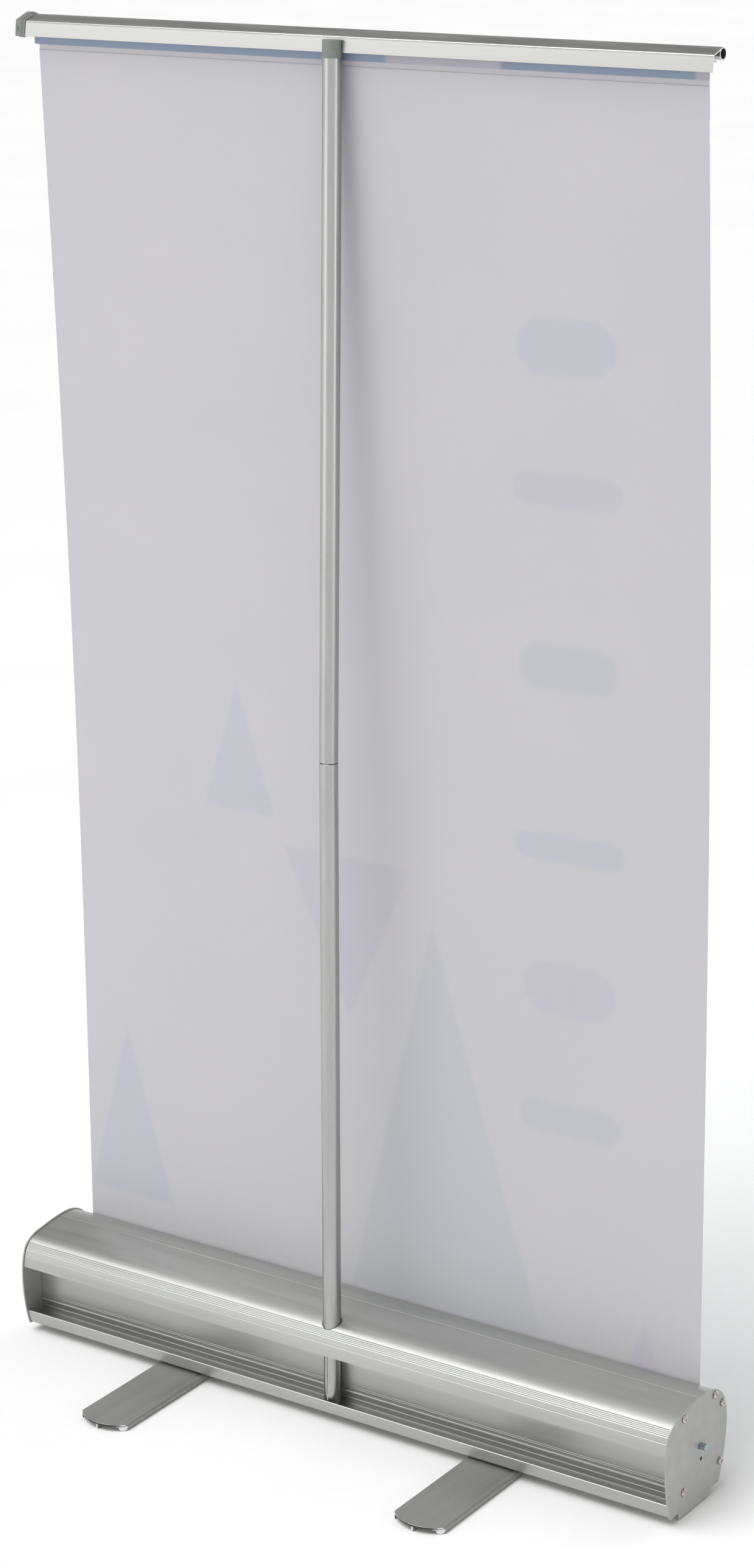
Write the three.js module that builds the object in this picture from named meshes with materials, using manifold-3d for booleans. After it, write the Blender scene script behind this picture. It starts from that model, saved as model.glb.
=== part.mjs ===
// Roll-up banner stand: a spring roller in an extruded cassette, two swivelling feet, a two-section pole and
// a top rail that carries the graphic. Millimetres. +Z is up, +X runs along the cassette, -Y is the printed
// side and +Y the side with the pole. The origin is on the floor, midway between the two foot pivots.
// Left and right are those of someone who faces the printed side.
import * as THREE from 'three';
import { mergeVertices } from 'three/addons/utils/BufferGeometryUtils.js';
import Module from 'manifold-3d';

const wasm = await Module();
wasm.setup();

// ---------------------------------------------------------------- driving dimensions

const GAP = 0.3; // between two pieces that touch
const CURVE_STEPS = 8; // points on each curve of the casing outline
const ROUND = 32; // sides of a large round piece
const SMALL_ROUND = 16; // sides of a screw or a pin

// Graphic
const GRAPHIC_WIDTH = 850;
const GRAPHIC_THICKNESS = 0.5;
const GRAPHIC_LEAN = THREE.MathUtils.degToRad(0.684); // forwards, from the slot to the rail
const SLOT_Y = -50; // where the graphic leaves the cassette
const SLOT_Z = 120;
const RAIL_HEIGHT = 1543.6; // the corner between the rail's flap and its web

// Cassette
const CASSETTE_MARGIN = 23; // from the graphic's edge to an end plate's outer face
const PLATE_THICKNESS = 2;
const PLATE_PROUD = 1.5; // how far an end plate's edge stands out of the profile
const FRONT = -70.7; // the end plate's outline
const REAR = 61;
const TOP = 127.6;
const BASE = 9;
const WALL = 1.8;
const SLOT_FRONT = 4.5; // the slot's reach in front of the graphic
const SLOT_BACK = 3.2; // and behind it
const RECESS_CLEARANCE = 3.1; // from the pole's spigot to the wall in front of it
const RECESS_BEND_Z = 66; // above this height that wall leans forwards, as the pole does
const RECESS_SLANT = 7; // by this much at the top
const LEDGE_Z = 18; // the recess floor
const LIP_Z = 25.4; // top edge of the lip in front of it
const HOOD_EDGE_Z = 84.5; // lower edge of the hood's rear skin
const RIB_RADIUS = 2;
const RIB_Z = 33;
const MOUTH_DEPTH = 15; // the recess's mouth cuts this far in from the rear
const SLOT_DEPTH = 20; // and the graphic's slot this far down from the top
const GROOVE_COUNT = 5; // fine grooves over the hood's rear shoulder
const GROOVE_PITCH = 2.2;
const GROOVE_DEPTH = 0.5;
const TAB_HALF_DEPTH = 33; // the end plate's tab hides the folded feet
const TAB_BOTTOM = 1.5;
const TAB_BEVEL = 3;

// End plate screws: four round the rim, as shares of its length from the rear of the base, and one in the
// wall between the roller and the recess
const RIM_SCREWS = [0.308, 0.476, 0.534, 0.711];
const SCREW_INSET = 6.4; // from the plate's edge
const WALL_SCREW_HEIGHT = 12.4; // above the ledge
const WALL_SCREW_SETBACK = 3.6; // in front of the recess
const SCREW_RADIUS = 1.8;
const SCREW_LENGTH = 12;
const SCREW_HEAD_RADIUS = 4.6;
const SCREW_HEAD_HEIGHT = 2.4;
const SCREW_RECESS_WIDTH = 1; // one bar of the cross
const SCREW_RECESS_LENGTH = 5;
const SCREW_RECESS_DEPTH = 1.5;
const SCREW_POINT = 1.5; // length of the tapered point
const BOSS_WALL = 1.6;
const SCREW_CLEARANCE = 0.3;

// Roller
const ROLLER_Y = -12;
const ROLLER_Z = 70;
const ROLLER_RADIUS = 17;
const ROLLER_WALL = 1.2;
const ROLLER_END_PLAY = 4; // between the roller's end and the end plate
const LEADER_THICKNESS = 2.5; // the wraps of leader that stay on the roller
const PLUG_DEPTH = 22;
const PLUG_FLANGE = 2;
const AXLE_RADIUS = 4;
const AXLE_FLAT = 2.6; // half the thickness over the flats
const AXLE_PROUD = 8; // the flat end that stands out of the left plate
const AXLE_CLEARANCE = 0.3;
const SHAFT_LENGTH = 330;
const IDLER_LENGTH = 24;
const IDLER_HEAD_RADIUS = 6;
const IDLER_HEAD_HEIGHT = 1.6;
const LOCK_HOLE_RADIUS = 2.5;
const LOCK_HOLE_DROP = 16; // the roller's locking pin goes in this far below the axle
const LOCK_HOLE_SHIFT = 1.5; // and this far in front of it
const SPRING_RADIUS = 8;
const SPRING_WIRE = 0.9;
const SPRING_TURNS = 26;
const SPRING_STEPS = 9; // to a turn
const SPRING_SIDES = 5;
const SPRING_START = 40; // from the roller's left end
const SPRING_LENGTH = 240;
const ANCHOR_LENGTH = 30;

// Feet
const FOOT_PIVOT_SHIFT = 5; // each pivot's distance inboard of the half cassette's middle
const FOOT_MEETING_GAP = 13; // from the middle to a folded foot's tip
const FOOT_WIDTH = 67;
const FOOT_HEIGHT = 8;
const FOOT_TIP_RADIUS = 45;
const FOOT_SKIN = 2.6;
const FOOT_RIB = 2.6;
const FOOT_BEAD_RADIUS = 4;
const FOOT_SLOPE = 8; // width of the sloped edge beside the bead
const FOOT_BOSS_RADIUS = 13;
const PIVOT_RADIUS = 3;
const PIVOT_HEAD_RADIUS = 6;
const PIVOT_HEAD_HEIGHT = 3;
const PIVOT_HEAD_LIFT = 1.2; // the head stays this far off the floor
const PIVOT_NUT_WIDTH = 11;
const PIVOT_NUT_HEIGHT = 5;
const WASHER_RADIUS = 15;
const PIVOT_CLEARANCE = 0.3;

// Pole
const POLE_FOOT_X = 5; // its axis at the ledge
const SPIGOT_SETBACK = 10.9; // from the end plate's rear to the spigot there
const POLE_TOP_X = 17.3; // its axis under the rail
const POLE_BOW = 6.7; // the joint stands this far behind the straight line
const POLE_RADIUS = 10.35;
const POLE_WALL = 1;
const POLE_HOLE_CLEARANCE = 0.7;
const SPIGOT_STEP = 0.75; // the spigot's radius is this much less than the tube's
const SPIGOT_EXPOSED = 93; // the length below the tube's lower end
const SPIGOT_INSERT = 40;
const SPIGOT_BORE = 7;
const SPIGOT_SLIT = 1.2;
const SPIGOT_ROUNDING = 3;
const FERRULE_LENGTH = 90;
const FERRULE_INSERT = 30; // into the upper section
const FERRULE_WALL = 1.4;
const FERRULE_CLEARANCE = 0.9;
const CORD_RADIUS = 1.5;
const KNOT_RADIUS = 3.6;
const KNOT_POCKET = 4.2; // half width and half height of the space that a knot sits in
const KNOT_COVER = 1.5; // the floor of the cap's slot over that space
const CORD_WEB = 3; // the web that a knot pulls against
const CAP_STEP = 0.35; // the cap's radius is this much more than the tube's
const CAP_HEIGHT = 18;
const CAP_FRONT_HEIGHT = 10; // the wall in front of the slot is lower
const CAP_INSERT = 20;
const CAP_SLOT_WIDTH = 3.6;
const CAP_SLOT_OFFSET = 3; // the slot's middle, in front of the pole's axis
const CAP_SLOT_FLOOR = 4;
const CAP_CLEARANCE = 0.5; // between the cap's front and the header strip

// Top rail, in a section whose origin is where the graphic's plane meets the rail's height
const RAIL_MARGIN = 10; // the rail reaches this far past the graphic's edge
const RAIL_WALL = 1.3;
const FLAP_HEIGHT = 16;
const FLAP_RAKE = 2.8; // the flap's lower edge stands this far behind its upper one
const FLAP_SHIFT = 1; // and this far behind the middle of the pole cap's slot
const NOSE_Y = -9.8;
const NOSE_DROP = 0.7;
const NOSE_RADIUS = 6.5;
const RAIL_LIP_DROP = 7;
const STRIP_THICKNESS = 1.2;
const STRIP_TOP_DROP = 2.6;
const STRIP_DROP = 25.5; // the strip's lower edge, below the rail's corner
const STRIP_OVERHANG = 4.5; // the strip reaches this far past the graphic at the capped end
const STRIP_BARB = 1.2;
const STRIP_BARB_HEIGHT = 2.4;
const CAP_BLOCK = 12.5; // the rail's end cap, along X
const CAP_COLLAR = 3.5;
const CAP_GROWTH = 2; // the cap's outline outside the rail's
const CAP_COLLAR_GROWTH = 1;
const CAP_PLUG_DEPTH = 12;

// ---------------------------------------------------------------- finishes

const finish = (color, roughness, metalness) => new THREE
  .MeshStandardMaterial({ color, roughness, metalness });
const ANODISED = finish('#a9aaa6', 0.38, 1);
const BRIGHT_ANODISED = finish('#b9bab7', 0.3, 1);
const PLATE_PAINT = finish('#a3a4a0', 0.45, 0.6);
const FOOT_ALUMINIUM = finish('#8f908c', 0.45, 1);
const NICKEL = finish('#c4c3bf', 0.25, 1);
const ZINC = finish('#a9b4bd', 0.3, 1);
const SPRING_STEEL = finish('#6a6b6d', 0.35, 1);
const GREY_PLASTIC = finish('#7f8482', 0.55, 0);
const BLACK_PLASTIC = finish('#26272a', 0.6, 0);
const WHITE_NYLON = finish('#e4e3de', 0.5, 0);
const FILM = finish('#c6c5cb', 0.75, 0);
const STRIP_PVC = finish('#8f9db0', 0.5, 0);
const LEADER_FILM = finish('#d9d8d4', 0.7, 0);
const ELASTIC = finish('#1d1e20', 0.8, 0);

// ---------------------------------------------------------------- solids

// A closed geometry as a solid that can be cut and joined.
function toSolid(geometry) {
  const bare = geometry.clone();
  bare.deleteAttribute('normal');
  bare.deleteAttribute('uv');
  const merged = mergeVertices(bare, 1e-4);
  const vertProperties = merged.attributes.position.array;
  const triVerts = new Uint32Array(merged.index.array);
  return new wasm.Manifold(new wasm.Mesh({ numProp: 3, vertProperties, triVerts }));
}

function toGeometry(solid) {
  const made = solid.getMesh();
  const geometry = new THREE.BufferGeometry();
  geometry.setAttribute('position', new THREE.BufferAttribute(made.vertProperties, 3));
  geometry.setIndex(new THREE.BufferAttribute(made.triVerts, 1));
  geometry.computeVertexNormals();
  return geometry;
}

const join = (...geometries) => toGeometry(
  geometries.map(toSolid).reduce((sum, piece) => sum.add(piece)),
);
const common = (...geometries) => toGeometry(
  geometries.map(toSolid).reduce((sum, piece) => sum.intersect(piece)),
);
const cut = (geometry, ...tools) => toGeometry(
  tools.map(toSolid).reduce((rest, tool) => rest.subtract(tool), toSolid(geometry)),
);

// ---------------------------------------------------------------- shapes

const shapeOf = (points) => new THREE.Shape(points.map(([x, y]) => new THREE.Vector2(x, y)));

const ALONG_X = new THREE.Matrix4().makeBasis(
  new THREE.Vector3(0, 1, 0),
  new THREE.Vector3(0, 0, 1),
  new THREE.Vector3(1, 0, 0),
);
const ALONG_Y = new THREE.Matrix4().makeBasis(
  new THREE.Vector3(1, 0, 0),
  new THREE.Vector3(0, 0, 1),
  new THREE.Vector3(0, -1, 0),
);

function extrude(shape, depth, curveSegments = SMALL_ROUND) {
  return new THREE.ExtrudeGeometry(shape, { depth, bevelEnabled: false, curveSegments });
}

// A section drawn in Y and Z, carried from one X to another.
const beamX = (shape, from, to) => extrude(shape, to - from).applyMatrix4(ALONG_X).translate(from, 0, 0);

// A section drawn in X and Z, carried over a length centred on Y = 0.
const beamY = (shape, length) => extrude(shape, length).applyMatrix4(ALONG_Y).translate(0, length / 2, 0);

const box = (low, high) => new THREE.BoxGeometry(...high.map((v, i) => v - low[i]))
  .translate(...high.map((v, i) => (v + low[i]) / 2));

const rodZ = (radius, from, to, sides = SMALL_ROUND) => new THREE
  .CylinderGeometry(radius, radius, to - from, sides)
  .rotateX(Math.PI / 2)
  .translate(0, 0, (from + to) / 2);

const rodX = (radius, from, to, y = 0, z = 0, sides = SMALL_ROUND) => new THREE
  .CylinderGeometry(radius, radius, to - from, sides)
  .rotateZ(-Math.PI / 2)
  .translate((from + to) / 2, y, z);

const tubeZ = (outer, inner, from, to) => cut(
  rodZ(outer, from, to, ROUND),
  rodZ(inner, from - 1, to + 1, ROUND),
);

const tubeX = (outer, inner, from, to) => cut(
  rodX(outer, from, to, 0, 0, ROUND),
  rodX(inner, from - 1, to + 1, 0, 0, ROUND),
);

// A solid turned about Z from a profile of radii and heights.
function turned(profile, sides = ROUND) {
  const points = profile.map(([radius, height]) => new THREE.Vector2(radius, height));
  return new THREE.LatheGeometry(points, sides).rotateX(Math.PI / 2);
}

// The outline of a strip of even thickness along a polyline, with mitred corners.
function ribbon(points, thickness) {
  const side = (sign) => points.map(([x, y], i) => {
    const before = points[Math.max(i - 1, 0)];
    const here = points[Math.min(i, points.length - 2)];
    const after = points[Math.min(i + 1, points.length - 1)];
    const first = i ? [x - before[0], y - before[1]] : [after[0] - x, after[1] - y];
    const second = i < points.length - 1 ? [after[0] - x, after[1] - y] : [x - here[0], y - here[1]];
    const [a, b] = [first, second].map(([u, v]) => [-v / Math.hypot(u, v), u / Math.hypot(u, v)]);
    const reach = (sign * thickness) / 2 / (1 + a[0] * b[0] + a[1] * b[1]);
    return [x + (a[0] + b[0]) * reach, y + (a[1] + b[1]) * reach];
  });
  return shapeOf([...side(1), ...side(-1).reverse()]);
}

// A closed loop of points moved inwards by a distance. The loop runs anticlockwise.
function insetLoop(points, distance) {
  return points.map((point, i) => {
    const before = points.at(i - 1);
    const after = points[(i + 1) % points.length];
    const [a, b] = [[before, point], [point, after]].map(([from, to]) => {
      const length = Math.hypot(to.x - from.x, to.y - from.y);
      return [-(to.y - from.y) / length, (to.x - from.x) / length];
    });
    const reach = distance / (1 + a[0] * b[0] + a[1] * b[1]);
    return new THREE.Vector2(point.x + (a[0] + b[0]) * reach, point.y + (a[1] + b[1]) * reach);
  });
}

// The cassette's side outline: flat underneath, with a bowed front, a gently sloped hood and a full rear.
function casingLoop(inset) {
  const height = (share) => BASE + share * (TOP - BASE);
  const path = new THREE.Path();
  path.moveTo(REAR - 13, BASE);
  path.quadraticCurveTo(REAR - 8.5, BASE, REAR - 7.5, BASE + 6);
  path.bezierCurveTo(REAR - 1, height(0.25), REAR + 3, height(0.62), REAR - 6, height(0.8));
  path.bezierCurveTo(REAR - 9, height(0.895), REAR - 22, height(0.953), REAR - 41, height(0.966));
  path.bezierCurveTo(REAR - 57, height(0.988), FRONT + 57, TOP + 0.6, FRONT + 43, TOP);
  path.bezierCurveTo(FRONT + 29, TOP - 0.8, FRONT + 15, height(0.94), FRONT + 7, height(0.83));
  path.bezierCurveTo(FRONT - 3.3, height(0.7), FRONT, height(0.36), FRONT + 19.5, BASE);
  return insetLoop(path.getPoints(CURVE_STEPS), inset);
}

const casingOutline = (inset) => new THREE.Shape(casingLoop(inset));

function addPiece(group, name, geometry, material, place = [0, 0, 0]) {
  const mesh = new THREE.Mesh(geometry, material);
  mesh.name = name;
  mesh.position.set(...place);
  group.add(mesh);
  return mesh;
}

// ---------------------------------------------------------------- cassette

const cassetteEnd = GRAPHIC_WIDTH / 2 + CASSETTE_MARGIN;
const plateInnerFace = cassetteEnd - PLATE_THICKNESS;
const profileEnd = plateInnerFace - GAP;
const rollerEnd = plateInnerFace - ROLLER_END_PLAY;
const leaderRadius = ROLLER_RADIUS + GAP + LEADER_THICKNESS;
const floorUnderside = BASE + PLATE_PROUD;
const floorTop = floorUnderside + WALL;
const footPivot = plateInnerFace / 2 - FOOT_PIVOT_SHIFT;
const footLength = 2 * (footPivot - FOOT_MEETING_GAP);
const spigotRadius = POLE_RADIUS - SPIGOT_STEP;
const capRadius = POLE_RADIUS + CAP_STEP;
const poleSetback = SPIGOT_SETBACK + spigotRadius; // its axis, in front of the end plate's rear
const recessFace = REAR - poleSetback - spigotRadius - RECESS_CLEARANCE;

const rim = new THREE.Path([...casingLoop(SCREW_INSET), casingLoop(SCREW_INSET)[0]]);
const screwPlaces = [
  ...RIM_SCREWS.map((share) => rim.getPointAt(share).toArray()),
  [recessFace - WALL_SCREW_SETBACK, LEDGE_Z + WALL_SCREW_HEIGHT],
];

// The graphic's plane at the rail, and the rail's section measured from it
const railY = SLOT_Y - (RAIL_HEIGHT - SLOT_Z) * Math.tan(GRAPHIC_LEAN);
const stripFront = GRAPHIC_THICKNESS / 2 + GAP;
const stripBack = stripFront + STRIP_THICKNESS;
const flapTopZ = -RAIL_WALL / 2;
const slotMiddle = stripBack + CAP_CLEARANCE + capRadius - CAP_SLOT_OFFSET;
const flapBottom = [slotMiddle + FLAP_SHIFT, flapTopZ - FLAP_HEIGHT];
const flapTop = [flapBottom[0] - FLAP_RAKE, flapTopZ];
const nose = [NOSE_Y, -NOSE_DROP];

// The pole's axis passes through these three points
const poleFoot = new THREE.Vector3(POLE_FOOT_X, REAR - poleSetback, LEDGE_Z);
const poleTop = new THREE.Vector3(
  POLE_TOP_X,
  railY + stripBack + CAP_CLEARANCE + capRadius,
  RAIL_HEIGHT + flapBottom[1] - GAP,
);
const poleJoint = poleFoot.clone().lerp(poleTop, 0.5).add(new THREE.Vector3(0, POLE_BOW, 0));
const poleSlotFace = poleTop.distanceTo(poleJoint); // the floor of the cap's slot, along the upper section

// A frame with its origin at one point of the pole and Z towards the next.
function poleFrame(from, to) {
  const group = new THREE.Group();
  group.position.copy(from);
  group.quaternion.setFromUnitVectors(new THREE.Vector3(0, 0, 1), to.clone().sub(from).normalize());
  group.updateMatrixWorld(true);
  return group;
}

function buildProfile() {
  const section = (inset) => beamX(casingOutline(inset), -profileEnd, profileEnd);
  const beyond = 10;
  const far = cassetteEnd * 2;
  const inside = section(PLATE_PROUD + WALL);
  const dividerFront = recessFace - WALL;
  const rollerSide = beamX(shapeOf([
    [FRONT - beyond, 0],
    [dividerFront, 0],
    [dividerFront, RECESS_BEND_Z],
    [dividerFront - RECESS_SLANT, TOP],
    [FRONT - beyond, TOP],
  ]), -far, far);
  const poleSide = beamX(shapeOf([
    [recessFace, LEDGE_Z],
    [REAR + beyond, LEDGE_Z],
    [REAR + beyond, TOP],
    [recessFace - RECESS_SLANT, TOP],
    [recessFace, RECESS_BEND_Z],
  ]), -far, far);
  const underLedge = box([-far, recessFace, 0], [far, REAR + beyond, LEDGE_Z - WALL]);
  const rearMouth = box([-far, REAR - MOUTH_DEPTH, LIP_Z], [far, REAR + beyond, HOOD_EDGE_Z]);
  const slot = box(
    [-far, SLOT_Y - SLOT_FRONT, TOP - SLOT_DEPTH],
    [far, SLOT_Y + SLOT_BACK, TOP + beyond],
  );

  const holes = [-1, 1].map((side) => rodZ(PIVOT_RADIUS + PIVOT_CLEARANCE, 0, floorTop + 1)
    .translate(side * footPivot, 0, 0));
  const poleHole = rodZ(POLE_RADIUS + POLE_HOLE_CLEARANCE, HOOD_EDGE_Z - LEDGE_Z, TOP, ROUND)
    .applyMatrix4(poleFrame(poleFoot, poleJoint).matrixWorld);

  // Fine V grooves that follow the curve of the hood's rear shoulder.
  const shoulder = casingOutline(PLATE_PROUD).getPoints();
  const start = shoulder.findIndex((point) => point.x > 0 && point.y > BASE + 0.8 * (TOP - BASE));
  const curve = new THREE.CatmullRomCurve3(shoulder.slice(start, start + CURVE_STEPS)
    .map((point) => new THREE.Vector3(0, point.x, point.y)));
  const grooves = Array.from({ length: GROOVE_COUNT }, (_, i) => {
    const place = curve.getPointAt(((i + 0.5) * GROOVE_PITCH) / curve.getLength());
    return rodX(GROOVE_DEPTH, -far, far, place.y, place.z, 6);
  });

  const rib = rodX(RIB_RADIUS, -profileEnd, profileEnd, recessFace, RIB_Z);
  const boss = SCREW_RADIUS + SCREW_CLEARANCE + BOSS_WALL;
  const bosses = screwPlaces.map(([y, z]) => rodX(boss, -profileEnd, profileEnd, y, z));
  const bores = screwPlaces.map(([y, z]) => rodX(SCREW_RADIUS + SCREW_CLEARANCE, -far, far, y, z));

  const shell = cut(
    section(PLATE_PROUD),
    common(inside, rollerSide),
    common(inside, poleSide),
    common(inside, underLedge),
    rearMouth,
    slot,
  );
  const whole = common(join(shell, rib, ...bosses), section(PLATE_PROUD));
  return cut(whole, ...bores, ...holes, poleHole, ...grooves);
}

function buildPlate(side) {
  const inner = side * plateInnerFace;
  const outer = side * cassetteEnd;
  const [from, to] = [Math.min(inner, outer), Math.max(inner, outer)];
  const tab = shapeOf([
    [-TAB_HALF_DEPTH, BASE + PLATE_PROUD],
    [-TAB_HALF_DEPTH, TAB_BOTTOM + TAB_BEVEL],
    [-TAB_HALF_DEPTH + TAB_BEVEL, TAB_BOTTOM],
    [TAB_HALF_DEPTH - TAB_BEVEL, TAB_BOTTOM],
    [TAB_HALF_DEPTH, TAB_BOTTOM + TAB_BEVEL],
    [TAB_HALF_DEPTH, BASE + PLATE_PROUD],
  ]);
  const plate = join(beamX(casingOutline(0), from, to), beamX(tab, from, to));
  const through = [from - 1, to + 1];
  const holes = screwPlaces.map(([y, z]) => rodX(SCREW_RADIUS + SCREW_CLEARANCE, ...through, y, z));
  const axle = side < 0
    ? box([from - 1, ROLLER_Y - AXLE_RADIUS - GAP, ROLLER_Z - AXLE_FLAT - GAP],
      [to + 1, ROLLER_Y + AXLE_RADIUS + GAP, ROLLER_Z + AXLE_FLAT + GAP])
    : rodX(AXLE_RADIUS + GAP, ...through, ROLLER_Y, ROLLER_Z);
  const lock = rodX(LOCK_HOLE_RADIUS, ...through, ROLLER_Y - LOCK_HOLE_SHIFT, ROLLER_Z - LOCK_HOLE_DROP);
  return cut(plate, ...holes, axle, lock);
}

// A pan-head screw that stands on Z = 0 with its shank below, and a cross recess in the head.
function buildScrew() {
  const head = SCREW_HEAD_HEIGHT;
  const screw = turned([
    [0, -SCREW_LENGTH],
    [SCREW_RADIUS * 0.5, -SCREW_LENGTH],
    [SCREW_RADIUS, SCREW_POINT - SCREW_LENGTH],
    [SCREW_RADIUS, 0],
    [SCREW_HEAD_RADIUS, 0],
    [SCREW_HEAD_RADIUS, head * 0.35],
    [SCREW_HEAD_RADIUS * 0.86, head * 0.75],
    [SCREW_HEAD_RADIUS * 0.5, head],
    [0, head],
  ], SMALL_ROUND);
  const [half, reach, floor] = [SCREW_RECESS_WIDTH / 2, SCREW_RECESS_LENGTH / 2, head - SCREW_RECESS_DEPTH];
  return cut(
    screw,
    box([-half, -reach, floor], [half, reach, head + 1]),
    box([-reach, -half, floor], [reach, half, head + 1]),
  );
}

function buildCassette() {
  const group = new THREE.Group();
  addPiece(group, 'cassette_profile', buildProfile(), ANODISED);
  const screw = buildScrew();
  for (const [side, word] of [[-1, 'left'], [1, 'right']]) {
    addPiece(group, `end_plate_${word}`, buildPlate(side), PLATE_PAINT);
    screwPlaces.forEach(([y, z], i) => {
      const place = [side * (cassetteEnd + GAP), y, z];
      const piece = addPiece(group, `end_screw_${word}_${i + 1}`, screw, NICKEL, place);
      piece.rotation.y = (side * Math.PI) / 2;
    });
  }
  return group;
}

// ---------------------------------------------------------------- roller

// The flat-sided spring shaft and the idler axle stay with the end plates. The rest turns.
function buildRoller() {
  const group = new THREE.Group();
  group.position.set(0, ROLLER_Y, ROLLER_Z);
  const bore = ROLLER_RADIUS - ROLLER_WALL;
  const tubeEnd = rollerEnd - PLUG_FLANGE - GAP;
  const half = GRAPHIC_WIDTH / 2;
  addPiece(group, 'roller_tube', tubeX(ROLLER_RADIUS, bore, -tubeEnd, tubeEnd), BRIGHT_ANODISED);
  addPiece(group, 'leader_wraps', tubeX(leaderRadius, ROLLER_RADIUS + GAP, -half, half), LEADER_FILM);

  const plug = join(
    rodX(ROLLER_RADIUS, -rollerEnd, -rollerEnd + PLUG_FLANGE, 0, 0, ROUND),
    rodX(bore - GAP, -rollerEnd + PLUG_FLANGE / 2, -rollerEnd + PLUG_DEPTH, 0, 0, ROUND),
  );
  const bearing = AXLE_RADIUS + AXLE_CLEARANCE;
  const boredPlug = cut(plug, rodX(bearing, -rollerEnd - 1, -rollerEnd + PLUG_DEPTH + 1, 0, 0, ROUND));
  addPiece(group, 'roller_plug_left', boredPlug, BLACK_PLASTIC);
  addPiece(group, 'roller_plug_right', boredPlug.clone().rotateZ(Math.PI), BLACK_PLASTIC);

  const shaftStart = -cassetteEnd - AXLE_PROUD;
  const shaftEnd = -rollerEnd + SHAFT_LENGTH;
  const flats = box(
    [shaftStart - 1, -AXLE_RADIUS * 2, -AXLE_FLAT],
    [-rollerEnd - GAP, AXLE_RADIUS * 2, AXLE_FLAT],
  );
  const round = rodX(AXLE_RADIUS, -rollerEnd - GAP * 2, shaftEnd);
  const flatEnd = common(rodX(AXLE_RADIUS, shaftStart, shaftEnd), flats);
  addPiece(group, 'spring_shaft', join(flatEnd, round), ZINC);

  const springStart = -rollerEnd + SPRING_START;
  const springEnd = springStart + SPRING_LENGTH;
  const steps = SPRING_TURNS * SPRING_STEPS;
  const helix = new THREE.CatmullRomCurve3(Array.from({ length: steps + 1 }, (_, i) => {
    const angle = (i / SPRING_STEPS) * Math.PI * 2;
    const x = springStart + (SPRING_LENGTH * i) / steps;
    return new THREE.Vector3(x, SPRING_RADIUS * Math.cos(angle), SPRING_RADIUS * Math.sin(angle));
  }));
  const wire = new THREE.Shape(Array.from({ length: SPRING_SIDES }, (_, i) => {
    const angle = (i / SPRING_SIDES) * Math.PI * 2;
    return new THREE.Vector2(SPRING_WIRE * Math.cos(angle), SPRING_WIRE * Math.sin(angle));
  }));
  const spring = new THREE.ExtrudeGeometry(wire, { steps, extrudePath: helix, bevelEnabled: false });
  addPiece(group, 'torsion_spring', spring, SPRING_STEEL);

  const anchorStart = springEnd + SPRING_WIRE + GAP;
  const anchor = cut(
    rodX(bore - GAP, anchorStart, anchorStart + ANCHOR_LENGTH, 0, 0, ROUND),
    rodX(bearing, anchorStart - 1, anchorStart + ANCHOR_LENGTH + 1, 0, 0, ROUND),
  );
  addPiece(group, 'spring_anchor', anchor, BLACK_PLASTIC);

  const headStart = cassetteEnd + GAP;
  const idler = join(
    rodX(AXLE_RADIUS, rollerEnd - IDLER_LENGTH, headStart + IDLER_HEAD_HEIGHT / 2),
    rodX(IDLER_HEAD_RADIUS, headStart, headStart + IDLER_HEAD_HEIGHT),
  );
  addPiece(group, 'idler_axle', idler, ZINC);
  return group;
}

// ---------------------------------------------------------------- feet

// A flat extruded foot with rounded tips, drawn deployed, along Y, about its own pivot.
function buildFoot() {
  const half = FOOT_WIDTH / 2;
  const top = FOOT_HEIGHT;
  const under = top - FOOT_SKIN;
  const beadX = FOOT_BEAD_RADIUS - half;
  const skin = shapeOf([
    [beadX + FOOT_SLOPE, top],
    [half, top],
    [half, under],
    [beadX + FOOT_SLOPE, under],
    [beadX, FOOT_BEAD_RADIUS - FOOT_SKIN / 2],
    [beadX, FOOT_BEAD_RADIUS + FOOT_SKIN * 0.75],
  ]);
  const rib = (x) => box(
    [x - FOOT_RIB / 2, -footLength / 2, 0],
    [x + FOOT_RIB / 2, footLength / 2, under + 0.5],
  );
  const bead = new THREE.CylinderGeometry(FOOT_BEAD_RADIUS, FOOT_BEAD_RADIUS, footLength, SMALL_ROUND)
    .translate(beadX, 0, FOOT_BEAD_RADIUS);
  const boss = rodZ(FOOT_BOSS_RADIUS, 0, top, ROUND);
  const bar = join(beamY(skin, footLength), rib(half - FOOT_RIB / 2), rib(0), bead, boss);

  // Seen from above, both tips are arcs over the foot's full width.
  const centreY = footLength / 2 - FOOT_TIP_RADIUS;
  const sweep = Math.asin(half / FOOT_TIP_RADIUS);
  const plan = new THREE.Shape();
  plan.absarc(0, centreY, FOOT_TIP_RADIUS, Math.PI / 2 - sweep, Math.PI / 2 + sweep);
  plan.absarc(0, -centreY, FOOT_TIP_RADIUS, -Math.PI / 2 - sweep, -Math.PI / 2 + sweep);
  const headTop = PIVOT_HEAD_LIFT + PIVOT_HEAD_HEIGHT + GAP;
  return cut(
    common(bar, extrude(plan, top * 3).translate(0, 0, -top)),
    rodZ(PIVOT_RADIUS + PIVOT_CLEARANCE, -1, top + 1),
    rodZ(PIVOT_HEAD_RADIUS + PIVOT_CLEARANCE, -1, headTop),
  );
}

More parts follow.
